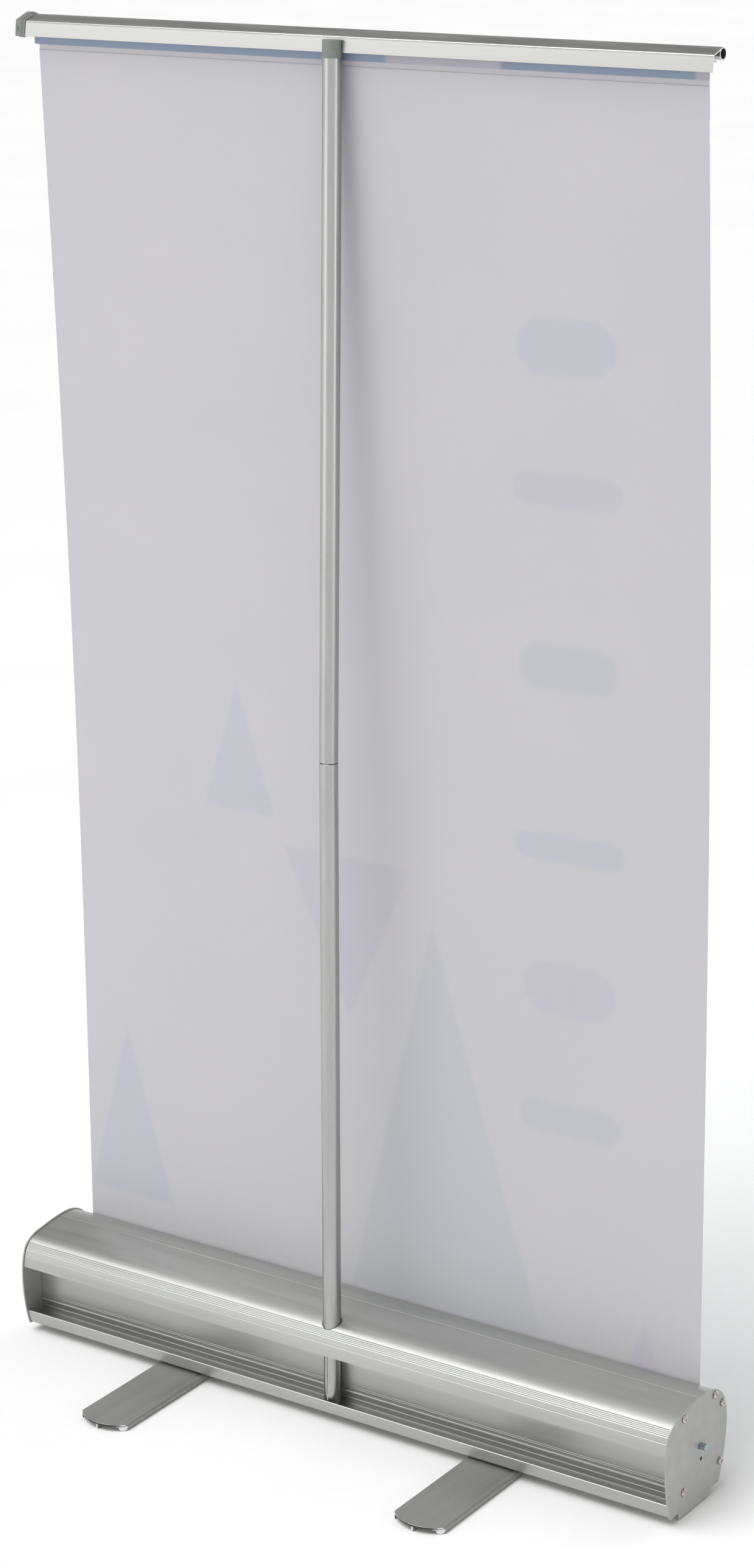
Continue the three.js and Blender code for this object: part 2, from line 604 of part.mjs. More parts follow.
function buildFeet() {
  const group = new THREE.Group();
  const foot = buildFoot();
  const nutBottom = floorTop + GAP;
  const headTop = PIVOT_HEAD_LIFT + PIVOT_HEAD_HEIGHT;
  const screwTop = nutBottom + PIVOT_NUT_HEIGHT + 1;
  const screw = join(
    rodZ(PIVOT_HEAD_RADIUS, PIVOT_HEAD_LIFT, headTop),
    rodZ(PIVOT_RADIUS, headTop - 1, screwTop),
  );
  const washer = cut(
    rodZ(WASHER_RADIUS, FOOT_HEIGHT + GAP, floorUnderside - GAP, ROUND),
    rodZ(PIVOT_RADIUS + PIVOT_CLEARANCE, 0, floorTop),
  );
  const nutCorner = PIVOT_NUT_WIDTH / Math.sqrt(3);
  const nut = cut(
    rodZ(nutCorner, nutBottom, nutBottom + PIVOT_NUT_HEIGHT, 6),
    rodZ(PIVOT_RADIUS + PIVOT_CLEARANCE, 0, screwTop + 1),
  );
  for (const [side, word] of [[-1, 'left'], [1, 'right']]) {
    const place = [side * footPivot, 0, 0];
    addPiece(group, `foot_${word}`, foot, FOOT_ALUMINIUM, place);
    addPiece(group, `foot_screw_${word}`, screw, ZINC, place);
    addPiece(group, `foot_washer_${word}`, washer, WHITE_NYLON, place);
    addPiece(group, `foot_nut_${word}`, nut, ZINC, place);
  }
  return group;
}

// ---------------------------------------------------------------- pole

function buildPole() {
  const group = new THREE.Group();
  const lower = poleFrame(poleFoot, poleJoint);
  const upper = poleFrame(poleJoint, poleTop);
  group.add(lower, upper);

  const bore = POLE_RADIUS - POLE_WALL;
  const lowerEnd = poleJoint.distanceTo(poleFoot) - GAP;
  const upperEnd = poleSlotFace - CAP_SLOT_FLOOR - GAP;
  const foot = GAP * 2; // the leaning spigot's heel still clears the ledge
  const tubeStart = foot + SPIGOT_EXPOSED;
  addPiece(lower, 'pole_lower', tubeZ(POLE_RADIUS, bore, tubeStart + GAP, lowerEnd), BRIGHT_ANODISED);
  addPiece(upper, 'pole_upper', tubeZ(POLE_RADIUS, bore, GAP, upperEnd), BRIGHT_ANODISED);

  const pocketTop = foot + KNOT_POCKET * 2;
  const spigot = cut(
    turned([
      [0, foot],
      [spigotRadius - SPIGOT_ROUNDING, foot],
      [spigotRadius - SPIGOT_ROUNDING * 0.3, foot + SPIGOT_ROUNDING * 0.3],
      [spigotRadius, foot + SPIGOT_ROUNDING],
      [spigotRadius, tubeStart],
      [bore - GAP, tubeStart],
      [bore - GAP, tubeStart + SPIGOT_INSERT],
      [0, tubeStart + SPIGOT_INSERT],
    ]),
    rodZ(KNOT_POCKET, -1, pocketTop),
    rodZ(CORD_RADIUS + GAP, -1, tubeStart),
    rodZ(SPIGOT_BORE, pocketTop + CORD_WEB, tubeStart + SPIGOT_INSERT + 1, ROUND),
    box(
      [-SPIGOT_SLIT / 2, 0, pocketTop + CORD_WEB * 2],
      [SPIGOT_SLIT / 2, spigotRadius + 1, tubeStart - CORD_WEB],
    ),
  );
  addPiece(lower, 'pole_spigot', spigot, BRIGHT_ANODISED);

  const ferruleRadius = bore - FERRULE_CLEARANCE;
  const ferruleEnd = lowerEnd + FERRULE_INSERT;
  const ferrule = tubeZ(ferruleRadius, ferruleRadius - FERRULE_WALL, ferruleEnd - FERRULE_LENGTH, ferruleEnd);
  addPiece(lower, 'pole_ferrule', ferrule, ANODISED);

  const webTop = GAP * 2 - KNOT_POCKET;
  const capBase = upperEnd + GAP;
  const slotFront = -CAP_SLOT_OFFSET - CAP_SLOT_WIDTH / 2;
  const beside = capRadius + 1;
  const cap = cut(
    turned([
      [0, -CAP_INSERT],
      [bore - GAP, -CAP_INSERT],
      [bore - GAP, 0],
      [capRadius, 0],
      [capRadius, CAP_HEIGHT - 1],
      [capRadius - 1, CAP_HEIGHT],
      [0, CAP_HEIGHT],
    ]),
    rodZ(SPIGOT_BORE, -CAP_INSERT - 1, webTop - CORD_WEB - KNOT_POCKET),
    rodZ(CORD_RADIUS + GAP, -CAP_INSERT - 1, 0),
    rodZ(KNOT_POCKET, webTop - KNOT_POCKET, CAP_SLOT_FLOOR - KNOT_COVER),
    box([-beside, slotFront, CAP_SLOT_FLOOR], [beside, slotFront + CAP_SLOT_WIDTH, CAP_HEIGHT + 1]),
    box([-beside, -beside, CAP_FRONT_HEIGHT], [beside, slotFront + 1, CAP_HEIGHT + 1]),
  );
  addPiece(upper, 'pole_cap', cap, GREY_PLASTIC, [0, 0, capBase]);

  // The shock cord runs inside both sections, between a knot under the spigot's web and one above the cap's.
  const knotLow = foot + KNOT_POCKET;
  const knotHigh = capBase + webTop - KNOT_POCKET + KNOT_RADIUS + GAP;
  const cordStart = lower.localToWorld(new THREE.Vector3(0, 0, knotLow + KNOT_RADIUS + GAP));
  const cordEnd = upper.localToWorld(new THREE.Vector3(0, 0, knotHigh - KNOT_RADIUS - GAP));
  const route = new THREE.CatmullRomCurve3([
    cordStart,
    cordStart.clone().lerp(poleJoint, 0.5),
    poleJoint,
    poleJoint.clone().lerp(cordEnd, 0.5),
    cordEnd,
  ]);
  const cordSection = new THREE.Shape().absarc(0, 0, CORD_RADIUS, 0, Math.PI * 2);
  const cord = new THREE.ExtrudeGeometry(cordSection, {
    steps: 24,
    extrudePath: route,
    bevelEnabled: false,
    curveSegments: 4,
  });
  addPiece(group, 'shock_cord', cord, ELASTIC);
  const knot = new THREE.SphereGeometry(KNOT_RADIUS, 12, 8);
  addPiece(lower, 'shock_cord_knot_lower', knot, ELASTIC, [0, 0, knotLow]);
  addPiece(upper, 'shock_cord_knot_upper', knot, ELASTIC, [0, 0, knotHigh]);
  return group;
}

// ---------------------------------------------------------------- top rail and graphic

// The cap's outline runs round the rail's nose and flap, a little outside them.
function capOutline(growth) {
  const shape = new THREE.Shape();
  shape.moveTo(flapBottom[0] + RAIL_WALL / 2 + growth, flapBottom[1] - growth);
  shape.lineTo(flapTop[0] + RAIL_WALL / 2 + growth, flapTop[1] + RAIL_WALL / 2 + growth * 0.5);
  shape.absarc(...nose, NOSE_RADIUS + growth, Math.PI * 0.4, Math.PI * 1.5);
  shape.lineTo(flapBottom[0] - RAIL_WALL / 2 - growth * 2, flapBottom[1] - growth);
  return shape;
}

function buildRail() {
  const group = new THREE.Group();
  group.position.set(0, railY, RAIL_HEIGHT);
  const half = GRAPHIC_WIDTH / 2 + RAIL_MARGIN;
  const webEnd = [nose[0], nose[1] + NOSE_RADIUS - RAIL_WALL / 2];
  const flap = ribbon([flapBottom, flapTop, webEnd], RAIL_WALL);
  const lipZ = -RAIL_LIP_DROP;
  const lipY = flapTop[0] + (FLAP_RAKE * (flapTopZ - lipZ)) / FLAP_HEIGHT;
  const lip = ribbon([[lipY, lipZ], [stripBack + GAP, lipZ]], RAIL_WALL);
  const tube = rodX(NOSE_RADIUS, -half, half, ...nose, ROUND);
  const rail = cut(
    join(beamX(flap, -half, half), tube, beamX(lip, -half, half)),
    rodX(NOSE_RADIUS - RAIL_WALL, -half - 1, half + 1, ...nose, ROUND),
  );
  addPiece(group, 'top_rail', rail, ANODISED);

  const collarEnd = half + GAP + CAP_COLLAR;
  const blockEnd = half + GAP + CAP_BLOCK;
  const endCap = join(
    beamX(capOutline(CAP_COLLAR_GROWTH), half + GAP, collarEnd + 1),
    beamX(capOutline(CAP_GROWTH), collarEnd, blockEnd),
    rodX(NOSE_RADIUS - RAIL_WALL - GAP, half - CAP_PLUG_DEPTH, half + GAP * 2, ...nose),
  );
  addPiece(group, 'rail_end_cap', endCap, GREY_PLASTIC);

  // The strip stands just behind the graphic, and its barb rests on the rail's inner lip.
  const barbBottom = lipZ + RAIL_WALL / 2 + GAP;
  const strip = shapeOf([
    [stripFront, -STRIP_DROP],
    [stripBack, -STRIP_DROP],
    [stripBack, barbBottom],
    [stripBack + STRIP_BARB, barbBottom],
    [stripBack, barbBottom + STRIP_BARB_HEIGHT],
    [stripBack, -STRIP_TOP_DROP],
    [stripFront, -STRIP_TOP_DROP],
  ]);
  const stripGeometry = beamX(strip, -GRAPHIC_WIDTH / 2, GRAPHIC_WIDTH / 2 + STRIP_OVERHANG);
  addPiece(group, 'header_strip', stripGeometry, STRIP_PVC);
  return group;
}

// The graphic leaves the front of the roller, passes through the slot and rises to the rail.
function buildGraphic() {
  const leave = [ROLLER_Y - leaderRadius - GAP - GRAPHIC_THICKNESS, ROLLER_Z];
  const top = [railY, RAIL_HEIGHT - STRIP_TOP_DROP];
  const line = ribbon([leave, [SLOT_Y, SLOT_Z], top], GRAPHIC_THICKNESS);
  return beamX(line, -GRAPHIC_WIDTH / 2, GRAPHIC_WIDTH / 2);
}

const stand = new THREE.Group();
stand.add(buildCassette(), buildRoller(), buildFeet(), buildPole(), buildRail());
addPiece(stand, 'graphic_panel', buildGraphic(), FILM);

export default stand;
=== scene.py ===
import logging
import math
from dataclasses import dataclass
from enum import Enum
from typing import Sequence

import bpy
import numpy as np
from mathutils import Matrix, Vector
from mathutils.geometry import tessellate_polygon


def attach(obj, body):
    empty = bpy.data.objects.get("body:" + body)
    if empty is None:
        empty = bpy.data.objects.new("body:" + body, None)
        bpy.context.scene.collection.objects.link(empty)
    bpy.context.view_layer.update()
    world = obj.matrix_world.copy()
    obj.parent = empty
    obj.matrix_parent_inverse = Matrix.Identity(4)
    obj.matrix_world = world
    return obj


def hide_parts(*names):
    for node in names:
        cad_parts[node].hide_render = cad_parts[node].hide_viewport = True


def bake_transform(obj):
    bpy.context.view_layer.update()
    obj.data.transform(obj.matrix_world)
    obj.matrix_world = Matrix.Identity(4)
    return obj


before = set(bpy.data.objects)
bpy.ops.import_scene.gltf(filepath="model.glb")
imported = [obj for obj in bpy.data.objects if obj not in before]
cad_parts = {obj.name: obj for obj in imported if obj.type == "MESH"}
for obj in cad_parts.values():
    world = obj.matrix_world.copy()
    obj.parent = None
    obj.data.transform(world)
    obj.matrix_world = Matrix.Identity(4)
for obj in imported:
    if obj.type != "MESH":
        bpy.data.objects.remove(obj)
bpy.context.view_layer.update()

logging.basicConfig(level=logging.INFO, format="%(message)s")
LOG = logging.getLogger("banner_stand")
MM = 0.001
BASE, TOP, FRONT, REAR = 9.0, 127.6, -70.7, 61.0  # the end plate's outline, in millimetres
AXLE = (-12.0, 70.0)     # the roller's axis, in Y and Z
POINT = 0.05             # the radius that stands for a point on an axis
REAR_FROM = 20.0         # the cassette's rear wall lies behind this, in Y
TOP_FROM = 90.0          # its top lies above this, in Z


class Side(Enum):
    """An end of the cassette, as seen from the printed side."""

    LEFT = -1
    RIGHT = 1


class Carry(Enum):
    """The way that a section is carried."""

    ALONG_X = 0
    TO_FRONT = 1


class Grain(Enum):
    """The way that drawn or brushed lines run."""

    ALONG_X = 0
    ALONG_Y = 1
    ALONG_POLE = 2
    NONE = 3


# ---------------------------------------------------------------- shapes


def bezier(*controls: Sequence[float], steps: int = 24) -> np.ndarray:
    """Bezier curve: the sum of each control point times its Bernstein polynomial.

    Args:
        controls: the control points.
        steps: the number of intervals.

    Returns:
        An array of steps + 1 points.
    """
    points = np.asarray(controls, float)
    n = len(points) - 1
    t = np.linspace(0, 1, steps + 1)[:, None]
    weights = np.hstack([math.comb(n, k) * t**k * (1 - t) ** (n - k) for k in range(n + 1)])
    return weights @ points


def rounded(corners: Sequence[Sequence[float]], radius: float | Sequence[float],
            steps: int = 4) -> np.ndarray:
    """A polygon whose corners are parabolic arcs: two tangent points, with the corner as the control point.

    Args:
        corners: the polygon's corners, anticlockwise.
        radius: one radius, or one for each corner.
        steps: the intervals of each arc.

    Returns:
        The loop's points.
    """
    p = np.asarray(corners, float)
    r = np.broadcast_to(np.asarray(radius, float), len(p))
    back, ahead = np.roll(p, 1, 0) - p, np.roll(p, -1, 0) - p
    back /= np.linalg.norm(back, axis=1)[:, None]
    ahead /= np.linalg.norm(ahead, axis=1)[:, None]
    half = 0.5 * np.arccos(np.clip((back * ahead).sum(1), -0.9999, 0.9999))
    reach = (r / np.tan(half))[:, None]
    t = np.linspace(0, 1, steps + 1)[None, :, None]
    start, end, mid = (p + back * reach)[:, None], (p + ahead * reach)[:, None], p[:, None]
    loop = ((1 - t) ** 2 * start + 2 * t * (1 - t) * mid + t**2 * end).reshape(-1, 2)
    return without_doubles(loop)


def without_doubles(loop: np.ndarray) -> np.ndarray:
    """The loop without points that lie on the one before them."""
    return loop[np.linalg.norm(loop - np.roll(loop, 1, 0), axis=1) > 1e-4]


def inset(loop: np.ndarray, distance: float) -> np.ndarray:
    """An anticlockwise loop moved inwards: each point goes along the sum of its two edge normals, a mitre.

    Args:
        loop: the loop's points.
        distance: how far in, or out if negative.

    Returns:
        As many points, moved.
    """
    before, after = loop - np.roll(loop, 1, 0), np.roll(loop, -1, 0) - loop
    a = np.stack([-before[:, 1], before[:, 0]], 1) / np.linalg.norm(before, axis=1)[:, None]
    b = np.stack([-after[:, 1], after[:, 0]], 1) / np.linalg.norm(after, axis=1)[:, None]
    reach = distance / np.maximum(1 + (a * b).sum(1), 0.3)
    return loop + (a + b) * reach[:, None]


def circle(radius: float, sides: int, centre: Sequence[float] = (0, 0)) -> np.ndarray:
    """A circle's points, anticlockwise."""
    angle = np.arange(sides) * 2 * np.pi / sides
    return np.stack([centre[0] + radius * np.cos(angle), centre[1] + radius * np.sin(angle)], 1)


def arc(radius: float, start: float, end: float, steps: int, centre: Sequence[float]) -> np.ndarray:
    """Points on a circle from one angle to another, in degrees."""
    angle = np.radians(np.linspace(start, end, steps + 1))
    return np.stack([centre[0] + radius * np.cos(angle), centre[1] + radius * np.sin(angle)], 1)


def line_on_circle(point: np.ndarray, along: np.ndarray, centre: Sequence[float],
                   radius: float) -> np.ndarray:
    """The first point where a ray meets a circle: the smaller root of |p + t d - c| = r."""
    d = along / np.linalg.norm(along)
    gap = point - np.asarray(centre)
    b = gap @ d
    return point + d * (-b - math.sqrt(b * b - gap @ gap + radius * radius))


def casing(inset_by: float, steps: int = 24) -> np.ndarray:
    """The cassette's side outline from the rear of its base, over the top and down the front, moved inwards.

    Five Bezier curves: a small heel, the full rear, the shoulder, the gently sloped hood and the bowed front.
    """
    def height(share: float) -> float:
        """A height, as a share of the plate's."""
        return BASE + share * (TOP - BASE)

    parts = (
        bezier((REAR - 13, BASE), (REAR - 8.5, BASE), (REAR - 7.5, BASE + 6), steps=steps),
        bezier((REAR - 7.5, BASE + 6), (REAR - 1, height(0.25)), (REAR + 3, height(0.62)),
               (REAR - 6, height(0.8)), steps=steps),
        bezier((REAR - 6, height(0.8)), (REAR - 9, height(0.895)), (REAR - 22, height(0.953)),
               (REAR - 41, height(0.966)), steps=steps),
        bezier((REAR - 41, height(0.966)), (REAR - 57, height(0.988)), (FRONT + 57, TOP + 0.6),
               (FRONT + 43, TOP), steps=steps),
        bezier((FRONT + 43, TOP), (FRONT + 29, TOP - 0.8), (FRONT + 15, height(0.94)),
               (FRONT + 7, height(0.83)), steps=steps),
        bezier((FRONT + 7, height(0.83)), (FRONT - 3.3, height(0.7)), (FRONT, height(0.36)),
               (FRONT + 19.5, BASE), steps=steps),
    )
    return inset(without_doubles(np.vstack(parts)), inset_by)


def rear_at(loop: np.ndarray, z: float) -> int:
    """The index of a cassette outline's first point on its rear wall above a height."""
    return int(np.flatnonzero((loop[:, 0] > REAR_FROM) & (loop[:, 1] > z))[0])


def top_at(loop: np.ndarray, y: float) -> int:
    """The index of a cassette outline's first point on its top in front of a depth."""
    return int(np.flatnonzero((loop[:, 0] < y) & (loop[:, 1] > TOP_FROM))[0])


# ---------------------------------------------------------------- meshes


def place_object(name: str, data: bpy.types.ID) -> bpy.types.Object:
    """Puts a mesh, a light or a camera into a new object in the scene."""
    thing = bpy.data.objects.new(name, data)
    bpy.context.scene.collection.objects.link(thing)
    return thing


def mesh_piece(name: str, points: np.ndarray, faces: list[Sequence[int]], sharp: float = 32.0,
               cut_faces: int = 0) -> bpy.types.Object:
    """Puts points in millimetres and faces into a new object at the origin.

    Args:
        name: the piece's name.
        points: an (n, 3) array.
        faces: tuples of indices, the cut ends last.
        sharp: edges that turn by more than this many degrees stay crisp.
        cut_faces: how many of the last faces take the second material.

    Returns:
        The object.
    """
    mesh = bpy.data.meshes.new(name)
    mesh.from_pydata((np.asarray(points, float) * MM).tolist(), [], faces)
    mesh.polygons.foreach_set("use_smooth", np.ones(len(mesh.polygons), bool))
    if cut_faces:
        index = np.zeros(len(mesh.polygons), np.int32)
        index[-cut_faces:] = 1
        mesh.polygons.foreach_set("material_index", index)
    mesh.set_sharp_from_angle(angle=math.radians(sharp))
    mesh.update()
    return place_object(name, mesh)


def points_of(piece: bpy.types.Object) -> np.ndarray:
    """A piece's points, in millimetres."""
    flat = np.empty(len(piece.data.vertices) * 3)
    piece.data.vertices.foreach_get("co", flat)
    return flat.reshape(-1, 3) / MM


def quads(rings: int, sides: int, offset: int = 0, closed: bool = False) -> list[tuple[int, ...]]:
    """The quads between successive rings of equal count, facing outwards for anticlockwise rings."""
    k = np.arange(rings if closed else rings - 1)[:, None]
    j = np.arange(sides)[None, :]
    after, up = (j + 1) % sides, (k + 1) % rings
    table = np.stack([k * sides + j, k * sides + after, up * sides + after, up * sides + j], -1)
    return [tuple(q) for q in (table.reshape(-1, 4) + offset).tolist()]


def lids(rings: int, sides: int) -> list[tuple[int, ...]]:
    """The flat faces that close the first and the last of a stack of rings."""
    last = sides * (rings - 1)
    return [tuple(range(sides))[::-1], tuple(range(last, last + sides))]


def filled(loops: Sequence[np.ndarray]) -> np.ndarray:
    """Triangles over an outline and its holes, each made anticlockwise by the sign of its cross product.

    Args:
        loops: the outline and then its holes.

    Returns:
        An (n, 3) array of indices into the loops' points, one loop after another.
    """
    triangles = np.array(tessellate_polygon([[Vector((*p, 0)) for p in loop] for loop in loops]))
    corners = np.vstack(loops)
    a, b, c = (corners[triangles[:, i]] for i in range(3))
    turn = (b[:, 0] - a[:, 0]) * (c[:, 1] - a[:, 1]) - (b[:, 1] - a[:, 1]) * (c[:, 0] - a[:, 0])
    triangles[turn < 0] = triangles[turn < 0][:, ::-1]
    return triangles


def carried(name: str, stations: Sequence[tuple[float, np.ndarray]], way: Carry = Carry.ALONG_X,
            sharp: float = 32.0, holes: Sequence[np.ndarray] = (),
            cut_ends: bool = False) -> bpy.types.Object:
    """A section carried along a line, with its ends closed.

    Each station is a place on the line and a loop, and the surface is the straight blend between loops.

    Args:
        name: the piece's name.
        stations: (place, loop) pairs, all loops with as many points.
        way: along X for loops in Y and Z, or to the front, towards -Y, for loops in X and Z.
        sharp: the angle of a crisp edge, in degrees.
        holes: loops of holes that run right through.
        cut_ends: the ends take the second material.

    Returns:
        The object.
    """
    def place(at: float, loop: np.ndarray) -> np.ndarray:
        """The loop as 3-D points."""
        columns = [loop[:, 0], loop[:, 1]]
        columns.insert(way.value, np.full(len(loop), at))
        return np.stack(columns, 1)

    sides = len(stations[0][1])
    points = [np.vstack([place(at, loop) for at, loop in stations])]
    faces = quads(len(stations), sides)
    count = len(points[0])
    first, last = stations[0], stations[-1]
    low, high = [np.arange(sides)], [np.arange(sides) + sides * (len(stations) - 1)]
    for hole in holes:
        size = len(hole)
        points.append(np.vstack([place(first[0], hole), place(last[0], hole)]))
        faces += [q[::-1] for q in quads(2, size, count)]
        low.append(np.arange(size) + count)
        high.append(np.arange(size) + count + size)
        count += 2 * size
    triangles = filled([first[1], *holes])
    low_ids, high_ids = np.concatenate(low), np.concatenate(high)
    ends = [tuple(t) for t in low_ids[triangles[:, ::-1]].tolist() + high_ids[triangles].tolist()]
    return mesh_piece(name, np.vstack(points), faces + ends, sharp, len(ends) if cut_ends else 0)


@dataclass(frozen=True)
class Axis:
    """A straight axis between two points, in millimetres."""

    start: tuple[float, float, float]
    end: tuple[float, float, float]

    def frame(self) -> np.ndarray:
        """The 4x4 matrix that takes Z to this axis."""
        along = (Vector(self.end) - Vector(self.start)).normalized()
        turn = Vector((0, 0, 1)).rotation_difference(along).to_matrix().to_4x4()
        return np.array(Matrix.Translation(Vector(self.start)) @ turn)

    def place(self, points: np.ndarray) -> np.ndarray:
        """Points in the axis's own frame as points in the stand's."""
        m = self.frame()
        return points @ m[:3, :3].T + m[:3, 3]


def turned_points(profile: Sequence[tuple[float, float]], sides: int) -> np.ndarray:
    """Each (radius, height) of a profile as a ring round Z: (r cos a, r sin a, h)."""
    rows = np.asarray(profile, float)
    angle = np.arange(sides) * 2 * np.pi / sides
    ring = np.stack([np.cos(angle), np.sin(angle)], 1)
    xy = rows[:, None, :1] * ring[None]
    z = np.broadcast_to(rows[:, None, 1:], (len(rows), sides, 1))
    return np.concatenate([xy, z], 2).reshape(-1, 3)


def turned(name: str, profile: Sequence[tuple[float, float]], axis: Axis, sides: int = 64,
           hollow: bool = False, sharp: float = 32.0) -> bpy.types.Object:
    """A profile of radii and heights turned about an axis.

    Args:
        name: the piece's name.
        profile: (radius, height) pairs, outer side going up; a hollow one goes on down the bore.
        axis: the axis that it turns about.
        sides: the number of sides.
        hollow: the last ring joins the first.
        sharp: the angle of a crisp edge, in degrees.

    Returns:
        The object.
    """
    points = axis.place(turned_points(profile, sides))
    faces = quads(len(profile), sides, closed=hollow)
    if not hollow:
        faces += lids(len(profile), sides)
    return mesh_piece(name, points, faces, sharp)


def along_x(start: float, end: float, y: float, z: float) -> Axis:
    """An axis along X at a given Y and Z."""
    return Axis((start, y, z), (end, y, z))


def cut_by(piece: bpy.types.Object, *cutters: bpy.types.Object) -> bpy.types.Object:
    """Cuts the cutters out of a piece with exact booleans, and removes them."""
    for cutter in cutters:
        change = piece.modifiers.new("cut", "BOOLEAN")
        change.object, change.operation, change.solver = cutter, "DIFFERENCE", "EXACT"
    bpy.context.view_layer.update()
    result = bpy.data.meshes.new_from_object(piece.evaluated_get(bpy.context.evaluated_depsgraph_get()))
    piece.modifiers.clear()
    piece.data = result
    for cutter in cutters:
        bpy.data.objects.remove(cutter)
    return piece


def joined(piece: bpy.types.Object, *others: bpy.types.Object) -> bpy.types.Object:
    """Adds the other pieces' meshes to a piece as separate shells."""
    everything = [piece, *others]
    counts = np.cumsum([0] + [len(o.data.vertices) for o in everything])
    coordinates = []
    faces: list[tuple[int, ...]] = []
    for o, base in zip(everything, counts):
        coordinates.append(points_of(o))
        faces += [tuple(int(i + base) for i in p.vertices) for p in o.data.polygons]
    name = piece.name
    for o in everything:
        bpy.data.objects.remove(o)
    return mesh_piece(name, np.vstack(coordinates), faces)


# ---------------------------------------------------------------- finishes


Colour = tuple[float, float, float, float]


def linear(colour: str) -> Colour:
    """An sRGB hex colour as linear light."""
    share = np.array([int(colour[i:i + 2], 16) for i in (1, 3, 5)]) / 255
    value = np.where(share <= 0.04045, share / 12.92, ((share + 0.055) / 1.055) ** 2.4)
    return (*value.tolist(), 1.0)


def add_node(tree: bpy.types.NodeTree, kind: str, values: dict | None = None, links: dict | None = None,
             **settings: object) -> bpy.types.Node:
    """Adds a node, sets its properties and its unlinked inputs, and links the rest.

    Args:
        tree: the node tree.
        kind: the node's type name.
        values: input name or number to value.
        links: input name or number to the socket that feeds it.
        settings: properties of the node.

    Returns:
        The node.
    """
    node = tree.nodes.new(kind)
    for key, value in settings.items():
        setattr(node, key, value)
    for key, value in (values or {}).items():
        node.inputs[key].default_value = value
    for key, socket in (links or {}).items():
        tree.links.new(socket, node.inputs[key])
    return node


def new_material(name: str) -> tuple[bpy.types.Material, bpy.types.NodeTree, bpy.types.Node]:
    """A material with an empty tree and one Principled shader that goes to its output."""
    material = bpy.data.materials.new(name)
    material.use_nodes = True
    tree = material.node_tree
    tree.nodes.clear()
    shader = add_node(tree, "ShaderNodeBsdfPrincipled")
    add_node(tree, "ShaderNodeOutputMaterial", links={"Surface": shader.outputs["BSDF"]})
    return material, tree, shader


def two_tone(tree: bpy.types.NodeTree, feed: bpy.types.NodeSocket, *stops: tuple[float, Colour],
             ) -> bpy.types.NodeSocket:
    """A ramp between two stops, each a place and a linear colour."""
    ramp = add_node(tree, "ShaderNodeValToRGB", links={"Fac": feed})
    for element, (place, colour) in zip(ramp.color_ramp.elements, stops):
        element.position, element.color = place, colour
    return ramp.outputs["Color"]


def add_gloss(tree: bpy.types.NodeTree, shader: bpy.types.Node, feed: bpy.types.NodeSocket,
              roughness: tuple[float, float], span: tuple[float, float] = (0.3, 0.7)) -> None:
    """Gives a shader a roughness that goes from one value to another as noise crosses a span."""
    values = dict(zip(("From Min", "From Max", "To Min", "To Max"), (*span, *roughness)))
    gloss = add_node(tree, "ShaderNodeMapRange", values, {"Value": feed})
    tree.links.new(gloss.outputs["Result"], shader.inputs["Roughness"])


def add_relief(tree: bpy.types.NodeTree, shader: bpy.types.Node, feed: bpy.types.NodeSocket, strength: float,
               depth: float) -> None:
    """Gives a shader a relief of a depth in millimetres that follows noise."""
    bump = add_node(tree, "ShaderNodeBump", {"Strength": strength, "Distance": depth * MM}, {"Height": feed})
    tree.links.new(bump.outputs["Normal"], shader.inputs["Normal"])


@dataclass(frozen=True)
class Surface:
    """A solid finish: two tones mixed by noise, a roughness that wanders and a shallow relief.

    A metal keeps the default IOR. Line and patch are real sizes in millimetres: line is the spacing of the
    drawn lines or the grain, and patch the width of the slow change in tone.
    """

    name: str
    light: str
    dark: str
    roughness: float
    metallic: float = 0.0
    line: float = 0.6
    patch: float = 18.0
    relief: float = 0.02
    grain: Grain = Grain.NONE
    wander: float = 0.06

    def make(self) -> bpy.types.Material:
        """Builds the material."""
        material, tree, shader = new_material(self.name)
        shader.inputs["Metallic"].default_value = self.metallic
        place = add_node(tree, "ShaderNodeTexCoord").outputs["Object"]

        def pattern(size: float, stretch: float, detail: float) -> bpy.types.NodeSocket:
            """Noise of a size in millimetres, drawn out along the grain."""
            scale = [1 / (size * MM)] * 3
            if self.grain is not Grain.NONE:
                scale[self.grain.value] /= stretch
            spread = add_node(tree, "ShaderNodeMapping", {"Scale": scale}, {"Vector": place})
            noise = add_node(tree, "ShaderNodeTexNoise", {
                "Scale": 1.0, "Detail": detail, "Roughness": 0.55}, {"Vector": spread.outputs["Vector"]})
            return noise.outputs["Fac"]

        fine, slow = pattern(self.line, 120.0, 3.0), pattern(self.patch, 14.0, 2.0)
        both = add_node(tree, "ShaderNodeMath", {1: 0.45}, {0: fine}, operation="MULTIPLY")
        tone = add_node(tree, "ShaderNodeMath", {1: 0.55}, {0: slow, 2: both.outputs[0]},
                        operation="MULTIPLY_ADD")
        colour = two_tone(tree, tone.outputs[0], (0.32, linear(self.dark)), (0.68, linear(self.light)))
        tree.links.new(colour, shader.inputs["Base Color"])
        add_gloss(tree, shader, tone.outputs[0], (self.roughness - self.wander, self.roughness + self.wander))
        add_relief(tree, shader, fine, 0.35, self.relief)
        return material


